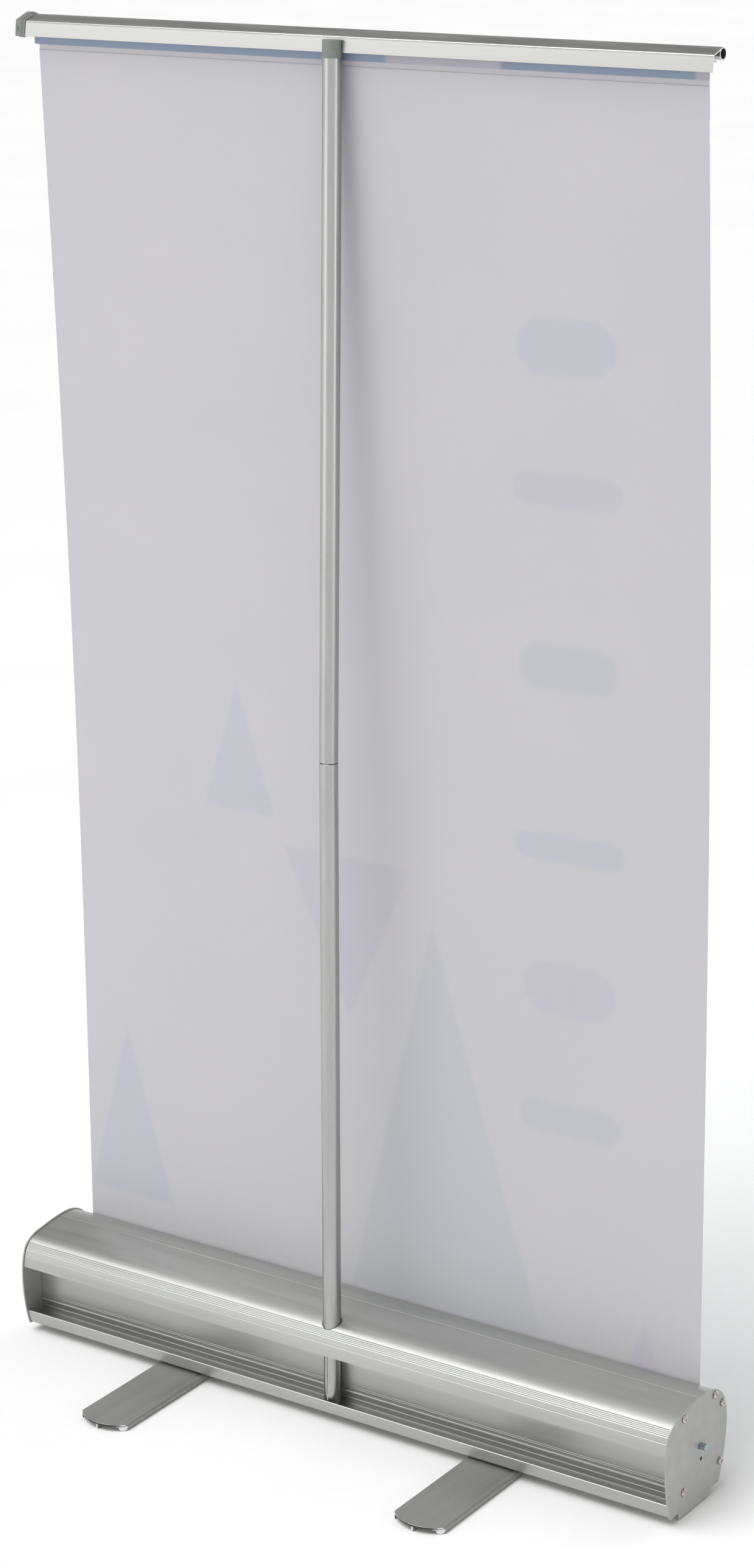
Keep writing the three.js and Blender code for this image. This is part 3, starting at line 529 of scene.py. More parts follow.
def half_plane(tree: bpy.types.NodeTree, place: bpy.types.NodeSocket, point: np.ndarray,
               inward: np.ndarray, soft: float) -> bpy.types.NodeSocket:
    """1 on the inner side of a line and 0 outside, with a smooth step of a given width."""
    offset = add_node(tree, "ShaderNodeVectorMath", {1: (*point, 0)}, {0: place}, operation="SUBTRACT")
    reach = add_node(tree, "ShaderNodeVectorMath", {1: (*inward, 0)}, {0: offset.outputs["Vector"]},
                     operation="DOT_PRODUCT")
    step = add_node(tree, "ShaderNodeMapRange", {"From Min": -soft / 2, "From Max": soft / 2},
                    {"Value": reach.outputs["Value"]}, interpolation_type="SMOOTHSTEP")
    return step.outputs["Result"]


def polygon_mask(tree: bpy.types.NodeTree, place: bpy.types.NodeSocket,
                 corners: Sequence[Sequence[float]], soft: float) -> bpy.types.NodeSocket:
    """The product of a smooth half plane for each side of a convex polygon, corners in millimetres."""
    p = np.asarray(corners, float) * MM
    middle = p.mean(0)
    mask = None
    for a, b in zip(p, np.roll(p, -1, 0)):
        normal = np.array([-(b - a)[1], (b - a)[0]]) / np.linalg.norm(b - a)
        normal *= np.sign(normal @ (middle - a))
        here = half_plane(tree, place, a, normal, soft * MM)
        mask = here if mask is None else add_node(tree, "ShaderNodeMath", links={0: mask, 1: here},
                                                  operation="MULTIPLY").outputs[0]
    return mask


@dataclass(frozen=True)
class BannerFilm:
    """Polyester banner film: satin, and grey at the back with the print faintly through it.

    The print is plain triangles and rounded bars, soft-edged where it shows through. UV is in metres over the
    film, so that the print stays on it as it stretches.
    """

    name: str
    ground: str
    shade: str
    tints: tuple[str, str, str]
    strength: float
    soft: float
    roughness: float = 0.62

    TRIANGLES = (
        (0, ((181, 824), (131, 674), (231, 674))),
        (1, ((118, 642), (-52, 642), (33, 455))),
        (0, ((362, 372), (298, 160), (424, 160))),
        (2, ((-80, 584), (37, 124), (-222, 124))),
        (1, ((-355, 173), (-383, 92), (-321, 92))),
    )
    BARS = ((1240, 58, 118), (1090, 34, 132), (900, 50, 120), (700, 30, 136), (540, 58, 112), (390, 36, 128))
    BAR_X = -258

    def bar(self, z: float, tall: float, width: float) -> list[tuple[float, float]]:
        """The eight corners of a bar whose corners are cut off."""
        cut, up, out = 0.3 * tall, tall / 2, width / 2
        right = [(out, cut - up), (out, up - cut), (out - cut, up)]
        left = [(cut - out, up), (-out, up - cut), (-out, cut - up), (cut - out, -up)]
        return [(self.BAR_X + x, z + rise) for x, rise in (*right, *left, (out - cut, -up))]

    def make(self) -> bpy.types.Material:
        """Builds the material."""
        material, tree, shader = new_material(self.name)
        place = add_node(tree, "ShaderNodeUVMap", uv_map="film").outputs["UV"]
        slow = add_node(tree, "ShaderNodeTexNoise", {"Scale": 5.0, "Detail": 2.0}, {"Vector": place})
        ground = add_node(tree, "ShaderNodeMix", links={0: slow.outputs["Fac"]}, data_type="RGBA")
        ground.inputs[6].default_value = linear(self.ground)
        ground.inputs[7].default_value = linear(self.shade)
        colour = ground.outputs[2]
        bars = [(i % len(self.tints), self.bar(*size)) for i, size in enumerate(self.BARS)]
        for tint, corners in (*self.TRIANGLES, *bars):
            mask = polygon_mask(tree, place, corners, self.soft)
            share = add_node(tree, "ShaderNodeMath", {1: self.strength}, {0: mask}, operation="MULTIPLY")
            mix = add_node(tree, "ShaderNodeMix", links={0: share.outputs[0], 6: colour}, data_type="RGBA")
            mix.inputs[7].default_value = linear(self.tints[tint])
            colour = mix.outputs[2]
        tree.links.new(colour, shader.inputs["Base Color"])
        peel = add_node(tree, "ShaderNodeTexNoise", {"Scale": 1 / (1.6 * MM), "Detail": 2.0},
                        {"Vector": place}).outputs["Fac"]
        add_gloss(tree, shader, peel, (self.roughness - 0.05, self.roughness + 0.06))
        add_relief(tree, shader, peel, 0.2, 0.02)
        return material


@dataclass(frozen=True)
class TintedStrip:
    """Extruded PVC strip: smooth and slightly glossy, with the film's colours showing through it in bands."""

    name: str
    blue: str
    lavender: str
    edges: tuple[float, float, float] = (-42.0, -184.0, -411.0)
    blur: float = 4.0

    def make(self) -> bpy.types.Material:
        """Builds the material: blue beyond the first edge, then lavender, blue and lavender again."""
        material, tree, shader = new_material(self.name)
        place = add_node(tree, "ShaderNodeTexCoord").outputs["Object"]
        x = add_node(tree, "ShaderNodeSeparateXYZ", links={0: place}).outputs["X"]
        steps = [add_node(tree, "ShaderNodeMapRange", {
            "From Min": (at - self.blur) * MM, "From Max": (at + self.blur) * MM,
        }, {"Value": x}, interpolation_type="SMOOTHSTEP").outputs["Result"] for at in self.edges]
        first = add_node(tree, "ShaderNodeMath", links={0: steps[2], 1: steps[1]}, operation="SUBTRACT")
        blue = add_node(tree, "ShaderNodeMath", links={0: first.outputs[0], 1: steps[0]}, operation="ADD")
        mix = add_node(tree, "ShaderNodeMix", links={0: blue.outputs[0]}, data_type="RGBA")
        mix.inputs[6].default_value = linear(self.lavender)
        mix.inputs[7].default_value = linear(self.blue)
        tree.links.new(mix.outputs[2], shader.inputs["Base Color"])
        flow = add_node(tree, "ShaderNodeTexNoise", {"Scale": 1 / (9 * MM), "Detail": 2.0}, {"Vector": place})
        add_gloss(tree, shader, flow.outputs["Fac"], (0.34, 0.5), (0.0, 1.0))
        return material


class Finishes:
    """Every finish on the stand, built once."""

    def __init__(self) -> None:
        """Builds the materials."""
        # Extruded and anodised aluminium: satin, with faint die lines along its length. Real lines are 0.1 mm
        # apart and are drawn at 0.7 mm so that they show.
        self.anodised = Surface("anodised_aluminium_extruded", "#bbbcb8", "#acada9", 0.38, 0.8, 0.7, 16.0,
                                0.03, Grain.ALONG_X).make()
        # The rail's aluminium has a brighter anodic film.
        self.rail = Surface("anodised_aluminium_bright_rail", "#c9c9c6", "#bbbcb8", 0.33, 1.0, 0.7, 12.0,
                            0.03, Grain.ALONG_X).make()
        # Drawn tube, polished and anodised: sharper stripes of light down its length.
        self.tube = Surface("anodised_aluminium_drawn_tube", "#b7b8b6", "#aaaba8", 0.3, 1.0, 0.5, 10.0, 0.02,
                            Grain.ALONG_POLE, 0.04).make()
        self.roller = Surface("aluminium_roller_tube", "#bfc0bd", "#aaaba8", 0.3, 1.0, 0.5, 10.0, 0.02,
                              Grain.ALONG_X).make()
        # Saw-cut aluminium: bare and bright at the open ends.
        self.sawn = Surface("aluminium_saw_cut", "#eceded", "#d6d7d6", 0.42, 1.0, 0.5, 4.0, 0.04).make()
        # Die-cast end plate in silver paint: fine grain, soft gloss.
        self.plate = Surface("die_cast_zinc_silver_paint", "#b2b3af", "#a3a4a0", 0.42, 0.45, 0.9, 14.0,
                             0.05).make()
        self.foot = Surface("anodised_aluminium_foot", "#a1a29f", "#93948f", 0.45, 0.45, 0.8, 14.0, 0.03,
                            Grain.ALONG_Y).make()
        # Nickel-plated screws: bright and warm. Zinc-plated shafts: bluish and duller.
        self.nickel = Surface("nickel_plated_steel", "#cfccc4", "#b6b2a8", 0.22, 1.0, 0.5, 3.0, 0.01).make()
        self.zinc = Surface("zinc_plated_steel", "#b3bec8", "#98a5b0", 0.32, 1.0, 0.8, 5.0, 0.02).make()
        self.spring = Surface("spring_steel_oiled", "#6f7072", "#545557", 0.36, 1.0, 0.5, 4.0, 0.02).make()
        # Moulded ABS: matt with a spark-eroded grain, drawn at 0.8 mm.
        self.grey_plastic = Surface("abs_moulded_grey", "#868a87", "#777b78", 0.5, 0.0, 0.8, 9.0, 0.06).make()
        self.black_plastic = Surface("polyamide_moulded_black", "#2c2d30", "#222326", 0.55, 0.0, 0.8, 9.0,
                                     0.06).make()
        self.nylon = Surface("nylon_turned_white", "#e8e7e2", "#dbdad3", 0.45, 0.0, 0.8, 6.0, 0.03).make()
        self.leader = Surface("polyester_leader_film", "#dddcd8", "#cfceca", 0.6, 0.0, 1.2, 30.0, 0.02,
                              Grain.ALONG_X).make()
        # Braided polyester over rubber: matt and dark.
        self.elastic = Surface("elastic_cord_braided", "#2a2b2e", "#151618", 0.8, 0.0, 0.5, 2.0, 0.15).make()
        self.film_back = BannerFilm("polyester_film_back", "#c5c3c8", "#bfbec2",
                                    ("#a9b0c2", "#b3aec0", "#aab2ba"), 0.3, 9.0).make()
        self.film_front = BannerFilm("polyester_film_printed", "#eef0f2", "#e7eaee",
                                     ("#5e7fa8", "#8a86b0", "#6fa0aa"), 0.9, 2.0, 0.5).make()
        self.strip = TintedStrip("pvc_strip_extruded", "#8191a6", "#aaa8b3").make()


FINISH = Finishes()


def report(piece: bpy.types.Object, body: str, slot: str, materials: Sequence[bpy.types.Material],
           *nodes: str) -> bpy.types.Object:
    """Dresses a piece, sets its body and logs it.

    Args:
        piece: the piece.
        body: the body that it moves with.
        slot: a material slot's name; not used.
        materials: its materials in order.
        nodes: the CAD nodes that it stands for.

    Returns:
        The piece.
    """
    for material in materials:
        piece.data.materials.append(material)
    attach(piece, body)
    if nodes:
        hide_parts(*nodes)
    LOG.info("%s: %d faces on %s", piece.name, len(piece.data.polygons), body)
    return piece


def dress_node(name: str, material: bpy.types.Material) -> None:
    """Gives a CAD node that stays its material."""
    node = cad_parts[name]
    node.data.materials.clear()
    node.data.materials.append(material)
    LOG.info("%s: kept from the CAD", name)


# ---------------------------------------------------------------- the pole


@dataclass
class Pole:
    """Two drawn tubes that slide on a shock cord, with a spigot below and a slotted cap above."""

    foot: tuple[float, float, float] = (5.0, 40.5, 18.0)
    joint: tuple[float, float, float] = (11.15, -0.069, 772.318)
    top: tuple[float, float, float] = (17.3, -54.038, 1526.636)
    radius: float = 10.35
    wall: float = 1.0
    spigot_radius: float = 9.6
    plug_radius: float = 9.05
    plug_length: float = 40.0
    slit: tuple[float, float, float] = (0.6, 15.0, 90.0)
    tube_start: float = 93.6
    cap_radius: float = 10.7
    cap_height: float = 18.0
    front_height: float = 10.0
    rear_chord: float = -1.2
    front_chord: float = -4.8
    cap_disc: float = 4.0

    def lower(self) -> Axis:
        """The lower section's axis."""
        return Axis(self.foot, self.joint)

    def upper(self) -> Axis:
        """The upper section's axis."""
        return Axis(self.joint, self.top)

    def tube(self, name: str, axis: Axis, start: float, end: float) -> bpy.types.Object:
        """A tube with broken edges: out at its foot, up the outside and down the bore."""
        r, inner, edge = self.radius, self.radius - self.wall, 0.35
        return turned(name, [(inner, start), (r - edge, start), (r, start + edge), (r, end - edge),
                             (r - edge, end), (inner, end)], axis, 96, hollow=True)

    def spigot(self) -> bpy.types.Object:
        """A turned plug with a rounded foot and a slit up its rear, let into the tube above it."""
        r, low, high, bend, edge = self.spigot_radius, 0.6, self.tube_start, 3.0, 0.4
        foot = [(r - bend + bend * math.sin(a), low + bend - bend * math.cos(a))
                for a in np.linspace(0, math.pi / 2, 8)]
        shape = [(POINT, low), *foot, (r, high - edge), (r - edge, high), (self.plug_radius, high),
                 (self.plug_radius, high + self.plug_length), (POINT, high + self.plug_length)]
        body = turned("pole_spigot_turned", shape, self.lower(), 96)
        half, start, end = self.slit
        slit = np.array([(-half, start), (half, start), (half, end), (-half, end)])
        bar = carried("slit", [(14.0, slit), (2.0, slit)], Carry.TO_FRONT)
        bar.data.vertices.foreach_set("co", (self.lower().place(points_of(bar)) * MM).ravel())
        return cut_by(body, bar)

    def lug(self, name: str, front: bool, base: float) -> bpy.types.Object:
        """One side of the cap above its slot: a segment of the circle carried up, rounded at the top.

        Args:
            name: the shell's name.
            front: the lug in front of the slot, which is lower.
            base: where the slot's floor is along the axis.

        Returns:
            The shell.
        """
        chord = self.front_chord if front else self.rear_chord
        reach = math.degrees(math.asin(chord / self.cap_radius))
        start, end = (180 - reach, 360 + reach) if front else (reach, 180 - reach)
        loop = arc(self.cap_radius, start, end, 40, (0, 0))
        height = self.front_height if front else self.cap_height
        bend = 1.2
        rows = [(base - 1.0, 0.0), *((base + height - bend + bend * math.sin(a), bend - bend * math.cos(a))
                                     for a in np.linspace(0, np.pi / 2, 6))]
        rings = [np.c_[inset(loop, by), np.full(len(loop), at)] for at, by in rows]
        points = self.upper().place(np.vstack(rings))
        faces = quads(len(rows), len(loop)) + lids(len(rows), len(loop))
        return mesh_piece(name, points, faces, 40)

    def cap(self) -> bpy.types.Object:
        """The cap: a plug in the tube, a disc, and a lug on each side of the slot for the rail's flap."""
        base = math.dist(self.top, self.joint) - self.cap_disc
        r, plug, top, deep = self.cap_radius, self.plug_radius, base + self.cap_disc, base - 20
        disc = turned("pole_cap_moulded", [
            (POINT, deep), (plug - 0.45, deep), (plug, deep + 1), (plug, base), (r - 0.3, base),
            (r, base + 0.3), (r, top), (POINT, top)], self.upper(), 80)
        return joined(disc, self.lug("rear_lug", False, base), self.lug("front_lug", True, base))

    def build(self) -> None:
        """Builds and dresses the pole."""
        gap = 0.3
        upper_end = math.dist(self.top, self.joint) - self.cap_disc - gap
        lower_end = math.dist(self.joint, self.foot) - gap
        report(self.tube("pole_lower_tube", self.lower(), self.tube_start + gap, lower_end), "pole",
               "bright_anodised", [FINISH.tube], "pole_lower")
        report(self.tube("pole_upper_tube", self.upper(), gap, upper_end), "pole", "bright_anodised",
               [FINISH.tube], "pole_upper")
        report(self.spigot(), "pole", "bright_anodised", [FINISH.tube], "pole_spigot")
        report(self.cap(), "pole", "grey_plastic", [FINISH.grey_plastic], "pole_cap")
        dress_node("pole_ferrule", FINISH.roller)
        for name in ("shock_cord", "shock_cord_knot_lower", "shock_cord_knot_upper"):
            dress_node(name, FINISH.elastic)


# ---------------------------------------------------------------- the cassette


@dataclass
class Cassette:
    """The extruded cassette with its end plates and screws."""

    half: float = 445.7
    plate_inner: float = 446.0
    plate_outer: float = 448.0
    proud: float = 1.5
    wall: float = 1.8
    recess: float = 27.8
    divider: float = 26.0
    bend_z: float = 66.0
    slant: float = 7.0
    ledge: float = 18.0
    lip: float = 25.4
    hood_edge: float = 84.5
    slot: tuple[float, float] = (-54.5, -46.8)
    groove_pitch: float = 2.2
    groove_depth: float = 0.34
    scored: tuple[float, float] = (37.9, 40.1)
    screws: tuple[tuple[float, float], ...] = (
        (21.85, 116.9), (-43.43, 117.14), (-59.41, 101.5), (-53.83, 33.36), (24.2, 30.4))

    def hood(self, outer: np.ndarray) -> np.ndarray:
        """The hood's outer skin from its rear edge to the slot, with grooves cut along its normals.

        Depth at arc length s is the sum of v-shaped grooves, each depth times 1 - |s - place| / half width.

        Args:
            outer: the profile's outline.

        Returns:
            The skin's points, finest where it is grooved.
        """
        path = outer[rear_at(outer, self.hood_edge):top_at(outer, self.slot[1]) + 1]
        run = np.r_[0, np.cumsum(np.linalg.norm(np.diff(path, axis=0), axis=1))]
        shoulder = np.interp(BASE + 0.8 * (TOP - BASE) + 2.4, path[:40, 1], run[:40])
        places = shoulder + (np.arange(5) + 0.5) * self.groove_pitch
        end = run[-1]
        grooves = np.array([*((p, self.groove_depth, 0.75) for p in places), (shoulder - 6.5, 0.35, 0.55),
                            (end - 3.0, 0.3, 0.5), (end - 4.6, 0.3, 0.5), (end - 34.0, 0.22, 0.6)])
        fine = [np.arange(p - 1.2, p + 1.2, 0.2) for p, _, _ in grooves]
        s = np.unique(np.clip(np.r_[np.arange(0, end, 2.0), end, np.concatenate(fine)], 0, end))
        s = s[np.r_[True, np.diff(s) > 0.05]]
        points = np.stack([np.interp(s, run, path[:, 0]), np.interp(s, run, path[:, 1])], 1)
        depth = (grooves[:, 1] * np.maximum(0, 1 - abs(s[:, None] - grooves[:, 0]) / grooves[:, 2])).sum(1)
        ahead = np.gradient(points, axis=0)
        normal = np.stack([ahead[:, 1], -ahead[:, 0]], 1) / np.linalg.norm(ahead, axis=1)[:, None]
        return points - normal * depth[:, None]

    def section(self) -> np.ndarray:
        """The section as one loop: rear foot, lip, ledge, recess wall, hood, slot, roller bay and front."""
        outer, inner = casing(self.proud, 40), casing(self.proud + self.wall, 40)
        lip_outer, lip_inner = rear_at(outer, self.lip), rear_at(inner, self.lip)
        ledge_inner = rear_at(inner, self.ledge)
        crest = np.array([[0.25, 0.7], [0.5, 0.9], [0.75, 0.7]])
        lip_edge = outer[lip_outer] + (inner[lip_inner] - outer[lip_outer]) * crest[:, :1]
        lip_edge[:, 1] += crest[:, 1] * 0.6
        floor = rounded([(50, self.ledge - 1), (self.recess, self.ledge), (self.recess, 50)],
                        [0.1, 1.2, 0.1], 6)[5:12]
        ridge = arc(1.0, -90, 90, 8, (self.recess, 25.0))
        bead = arc(2.0, -90, 90, 14, (self.recess, 33.0))
        lines = np.array([(self.recess - depth, z + rise) for z in self.scored
                          for depth, rise in ((0.0, -0.5), (0.4, 0.0), (0.0, 0.5))])
        wall = np.array([(self.recess, 52.0), (self.recess, self.bend_z - 2),
                         (self.recess - 0.05, self.bend_z), (self.recess - 0.3, self.bend_z + 2)])

        def slanted(face: float) -> int:
            """The index where the inner outline's top crosses the slanting wall of a given face."""
            reach = face - self.slant * (inner[:, 1] - self.bend_z) / (TOP - self.bend_z)
            return int(np.flatnonzero((inner[:, 1] > 90) & (inner[:, 0] < reach))[0])

        hood_inner = inner[rear_at(inner, self.hood_edge):slanted(self.recess)][::-1]
        bay_top = inner[slanted(self.divider):top_at(inner, self.slot[1])][::-1]
        front_inner = inner[top_at(inner, self.slot[0]):][::-1]
        bay_floor = BASE + self.proud + self.wall
        divider = np.array([(self.divider, self.bend_z), (self.divider, bay_floor + 0.6),
                            (self.divider - 0.6, bay_floor)])
        return without_doubles(np.vstack([
            outer[:lip_outer + 1], lip_edge, inner[ledge_inner:lip_inner + 1][::-1], floor, ridge, bead,
            lines, wall, hood_inner, self.hood(outer), bay_top, divider, front_inner,
            outer[top_at(outer, self.slot[0]):],
        ]))

    def profile(self, pole: Pole) -> bpy.types.Object:
        """The extrusion, with the pole's hole cut through the hood."""
        loop = self.section()
        places = np.unique(np.r_[np.linspace(-self.half, self.half, 17), np.arange(-14, 32, 2.3)])
        body = carried("cassette_extrusion", [(float(x), loop) for x in places], cut_ends=True)
        start, end = self.hood_edge - self.ledge - 3, TOP - 4
        drill = turned("drill", [(11.05, start), (11.05, end)], pole.lower(), 96)
        return cut_by(body, drill)

    def plate(self, side: Side) -> bpy.types.Object:
        """An end plate: the outline with a tab for the folded feet, its edges broken, with two open holes."""
        tab = rounded([(-33.0, 9.6), (-33.0, 1.5), (33.0, 1.5), (33.0, 9.6)], [0.6, 3.0, 3.0, 0.6], 6)
        outline = without_doubles(np.vstack([casing(0.0), tab]))
        inner, outer = self.plate_inner, self.plate_outer
        steps = [(inner, 0.25), (inner + 0.25, 0.0), (outer - 0.7, 0.0), (outer - 0.35, 0.1),
                 (outer - 0.1, 0.35), (outer, 0.7)]
        stations = [(side.value * x, inset(outline, by)) for x, by in steps]
        stations.sort(key=lambda station: station[0])
        (y, z), reach, flat = AXLE, 4.3, 2.9
        bore = circle(reach, 48, AXLE)
        if side is Side.LEFT:
            bore = rounded([(y - reach, z - flat), (y + reach, z - flat), (y + reach, z + flat),
                            (y - reach, z + flat)], 0.8, 6)
        lock = circle(2.5, 32, (y - 1.5, z - 16))
        return carried(f"end_plate_{side.name.lower()}_cast", stations, holes=[bore, lock], sharp=38)

    def screw(self, side: Side, number: int) -> bpy.types.Object:
        """A pan-head screw: a turned head whose top is lowered by a cross with sloping walls.

        The recess at (u, v) is the greater of two bars, each the product of a clamped fall across and along.
        """
        y, z = self.screws[number]
        r, height, sides = 4.6, 2.4, 72
        rho = np.linspace(0.02, 1, 30)
        dome = height * (1 - 0.10 * rho**2 - 0.55 * np.clip((rho - 0.72) / 0.28, 0, 1) ** 2.2)
        under = [(POINT, -12.0), (0.9, -12.0), (1.8, -10.5), (1.8, 0.0), (r - 0.15, 0.0), (r, 0.2)]
        profile = np.vstack([under, np.c_[(r * rho)[::-1], dome[::-1]]])
        points = turned_points(profile, sides)
        u, v = abs(points[:, 0]), abs(points[:, 1])

        def bar(across: np.ndarray, along: np.ndarray) -> np.ndarray:
            """One bar of the cross."""
            return np.clip((0.85 - across) / 0.35, 0, 1) * np.clip((2.6 - along) / 1.2, 0, 1)

        recess = np.maximum(bar(u, v), bar(v, u)) * 1.5
        points[:, 2] -= np.where(np.arange(len(points)) >= len(under) * sides, recess, 0)
        turn = np.radians(17.0 * (number * 2 + (side is Side.RIGHT)))
        spin = np.array([[np.cos(turn), -np.sin(turn), 0], [np.sin(turn), np.cos(turn), 0], [0, 0, 1]])
        start = side.value * (self.plate_outer + 0.3)
        axis = along_x(start, start + side.value, y, z)
        faces = quads(len(profile), sides) + lids(len(profile), sides)
        name = f"end_screw_{side.name.lower()}_{number + 1}_pan_head"
        return mesh_piece(name, axis.place(points @ spin.T), faces, 48)

    def build(self, pole: Pole) -> None:
        """Builds and dresses the cassette."""
        report(self.profile(pole), "cassette", "anodised_aluminium", [FINISH.anodised, FINISH.sawn],
               "cassette_profile")
        for side in Side:
            word = side.name.lower()
            report(self.plate(side), "cassette", "end_plate", [FINISH.plate], f"end_plate_{word}")
            for number in range(len(self.screws)):
                report(self.screw(side, number), "cassette", "nickel", [FINISH.nickel],
                       f"end_screw_{word}_{number + 1}")


# ---------------------------------------------------------------- the roller


@dataclass
class Roller:
    """The spring roller between the end plates."""

    y: float = AXLE[0]
    z: float = AXLE[1]
    end: float = 439.7
    flats: float = 2.6

    def pipe(self, name: str, outer: float, inner: float, reach: float) -> bpy.types.Object:
        """A tube along X, centred on the stand."""
        edge = 0.2
        return turned(name, [(inner, 0), (outer - edge, 0), (outer, edge), (outer, 2 * reach - edge),
                             (outer - edge, 2 * reach), (inner, 2 * reach)],
                      along_x(-reach, reach, self.y, self.z), 96, hollow=True)

    def shaft(self) -> bpy.types.Object:
        """The spring shaft: a circle, clipped to two flats where it stands out of the plate."""
        whole = circle(4.0, 64, (self.y, self.z))
        flat = whole.copy()
        flat[:, 1] = np.clip(flat[:, 1], self.z - self.flats, self.z + self.flats)
        tip = (flat - (self.y, self.z)) * (0.88, 0.82) + (self.y, self.z)
        return carried("spring_shaft_flatted", [
            (-456.0, tip), (-455.4, flat), (-440.2, flat), (-440.0, whole), (-112.0, whole)], sharp=28)

    def build(self) -> None:
        """Builds and dresses the roller."""
        report(self.pipe("roller_tube_drawn", 17.0, 15.8, self.end), "roller", "bright_anodised",
               [FINISH.roller], "roller_tube")
        report(self.pipe("leader_wraps_wound", 19.8, 17.3, 425.0), "roller", "leader_film", [FINISH.leader],
               "leader_wraps")
        report(self.shaft(), "cassette", "zinc", [FINISH.zinc], "spring_shaft")
        idler = [(POINT, 0), (3.7, 0), (4.0, 0.3), (4.0, 30.3), (6.0, 30.3), (6.0, 31.4), (5.7, 31.8),
                 (5.0, 31.9), (POINT, 31.9)]
        report(turned("idler_axle_headed", idler, along_x(418.0, 419.0, self.y, self.z), 64), "cassette",
               "zinc", [FINISH.zinc], "idler_axle")
        for name in ("roller_plug_left", "roller_plug_right", "spring_anchor"):
            dress_node(name, FINISH.black_plastic)
        dress_node("torsion_spring", FINISH.spring)


# ---------------------------------------------------------------- the feet


@dataclass
class Foot:
    """A flat extruded foot with arc tips, on its own pivot under the cassette."""

    side: Side
    pivot: float = 218.0
    half_length: float = 205.0
    tip: float = 45.0
    bead: float = 4.0

    def section(self) -> np.ndarray:
        """The section in X and Z: the flat skin, two ribs below it, and a bead beyond a sloped edge."""
        centre = (-29.5, 4.0)
        right = rounded([(30.9, 0.0), (33.5, 0.0), (33.5, 8.0), (0.0, 8.0)], [0.3, 0.6, 0.9, 0.1], 4)[:15]
        top = np.c_[np.linspace(31.0, -20.5, 40), np.full(40, 8.0)]
        slope = bezier((-20.5, 8.0), (-21.5, 8.0), (-26.4, 6.74), steps=6)[1:]
        beads = arc(self.bead, 43.5, 359.0, 48, centre)
        under = np.c_[np.linspace(-21.5, -1.5, 16), np.full(16, 5.4)]
        rib = np.array([(-1.3, 5.2), (-1.3, 0.2), (-1.1, 0.0), (1.1, 0.0), (1.3, 0.2), (1.3, 5.2)])
        rest = np.c_[np.linspace(1.5, 30.7, 22), np.full(22, 5.4)]
        return without_doubles(np.vstack([right, top, slope, beads, under, rib, rest, [(30.9, 5.2)]]))

    def axis(self) -> Axis:
        """The pivot's axis."""
        x = self.side.value * self.pivot
        return Axis((x, 0, 0), (x, 0, 1))

    def bar(self) -> bpy.types.Object:
        """The foot: each point of the section runs to y = centre + sqrt(tip^2 - x^2) at both ends."""
        loop = self.section()
        reach = self.half_length - self.tip + np.sqrt(self.tip**2 - loop[:, 0] ** 2)
        shrink = inset(loop, 0.35)
        rows = [(reach, shrink), (reach - 0.35, loop),
                *((reach * s, loop) for s in (0.75, 0.5, 0.25, 0.0, -0.25, -0.5, -0.75)),
                (0.35 - reach, loop), (-reach, shrink)]
        points = np.vstack([np.stack([ring[:, 0] + self.side.value * self.pivot, y, ring[:, 1]], 1)
                            for y, ring in rows])
        sides = len(loop)
        triangles = filled([loop])
        far = triangles + sides * (len(rows) - 1)
        ends = [tuple(t) for t in triangles[:, ::-1].tolist() + far.tolist()]
        name = f"foot_{self.side.name.lower()}_extruded"
        foot = mesh_piece(name, points, quads(len(rows), sides) + ends, 30, len(ends))
        return cut_by(foot, turned("bore", [(3.3, -1), (3.3, 9)], self.axis(), 48))

    def build(self) -> None:
        """Builds and dresses the foot, its pivot screw and its washer."""
        word = self.side.name.lower()
        axis, body = self.axis(), f"foot_{word}"
        report(self.bar(), body, "foot_aluminium", [FINISH.foot, FINISH.sawn], f"foot_{word}")
        boss = [(3.4, 4.5), (12.6, 4.5), (13.0, 4.9), (13.0, 5.4), (3.4, 5.4)]
        report(turned(f"foot_boss_{word}", boss, axis, 64, hollow=True), body, "foot_aluminium",
               [FINISH.foot])
        screw = [(POINT, 1.2), (4.2, 1.2), (5.6, 1.6), (6.0, 2.4), (6.0, 4.2), (3.0, 4.2), (3.0, 18.2),
                 (2.6, 18.6), (POINT, 18.6)]
        report(turned(f"foot_screw_{word}_headed", screw, axis, 64), "cassette", "zinc", [FINISH.zinc],
               f"foot_screw_{word}")
        washer = [(3.3, 8.3), (14.6, 8.3), (15.0, 8.7), (15.0, 9.8), (14.6, 10.2), (3.3, 10.2)]
        report(turned(f"foot_washer_{word}_turned", washer, axis, 72, hollow=True), "cassette", "nylon",
               [FINISH.nylon], f"foot_washer_{word}")
        dress_node(f"foot_nut_{word}", FINISH.zinc)


# ---------------------------------------------------------------- the rail and the film


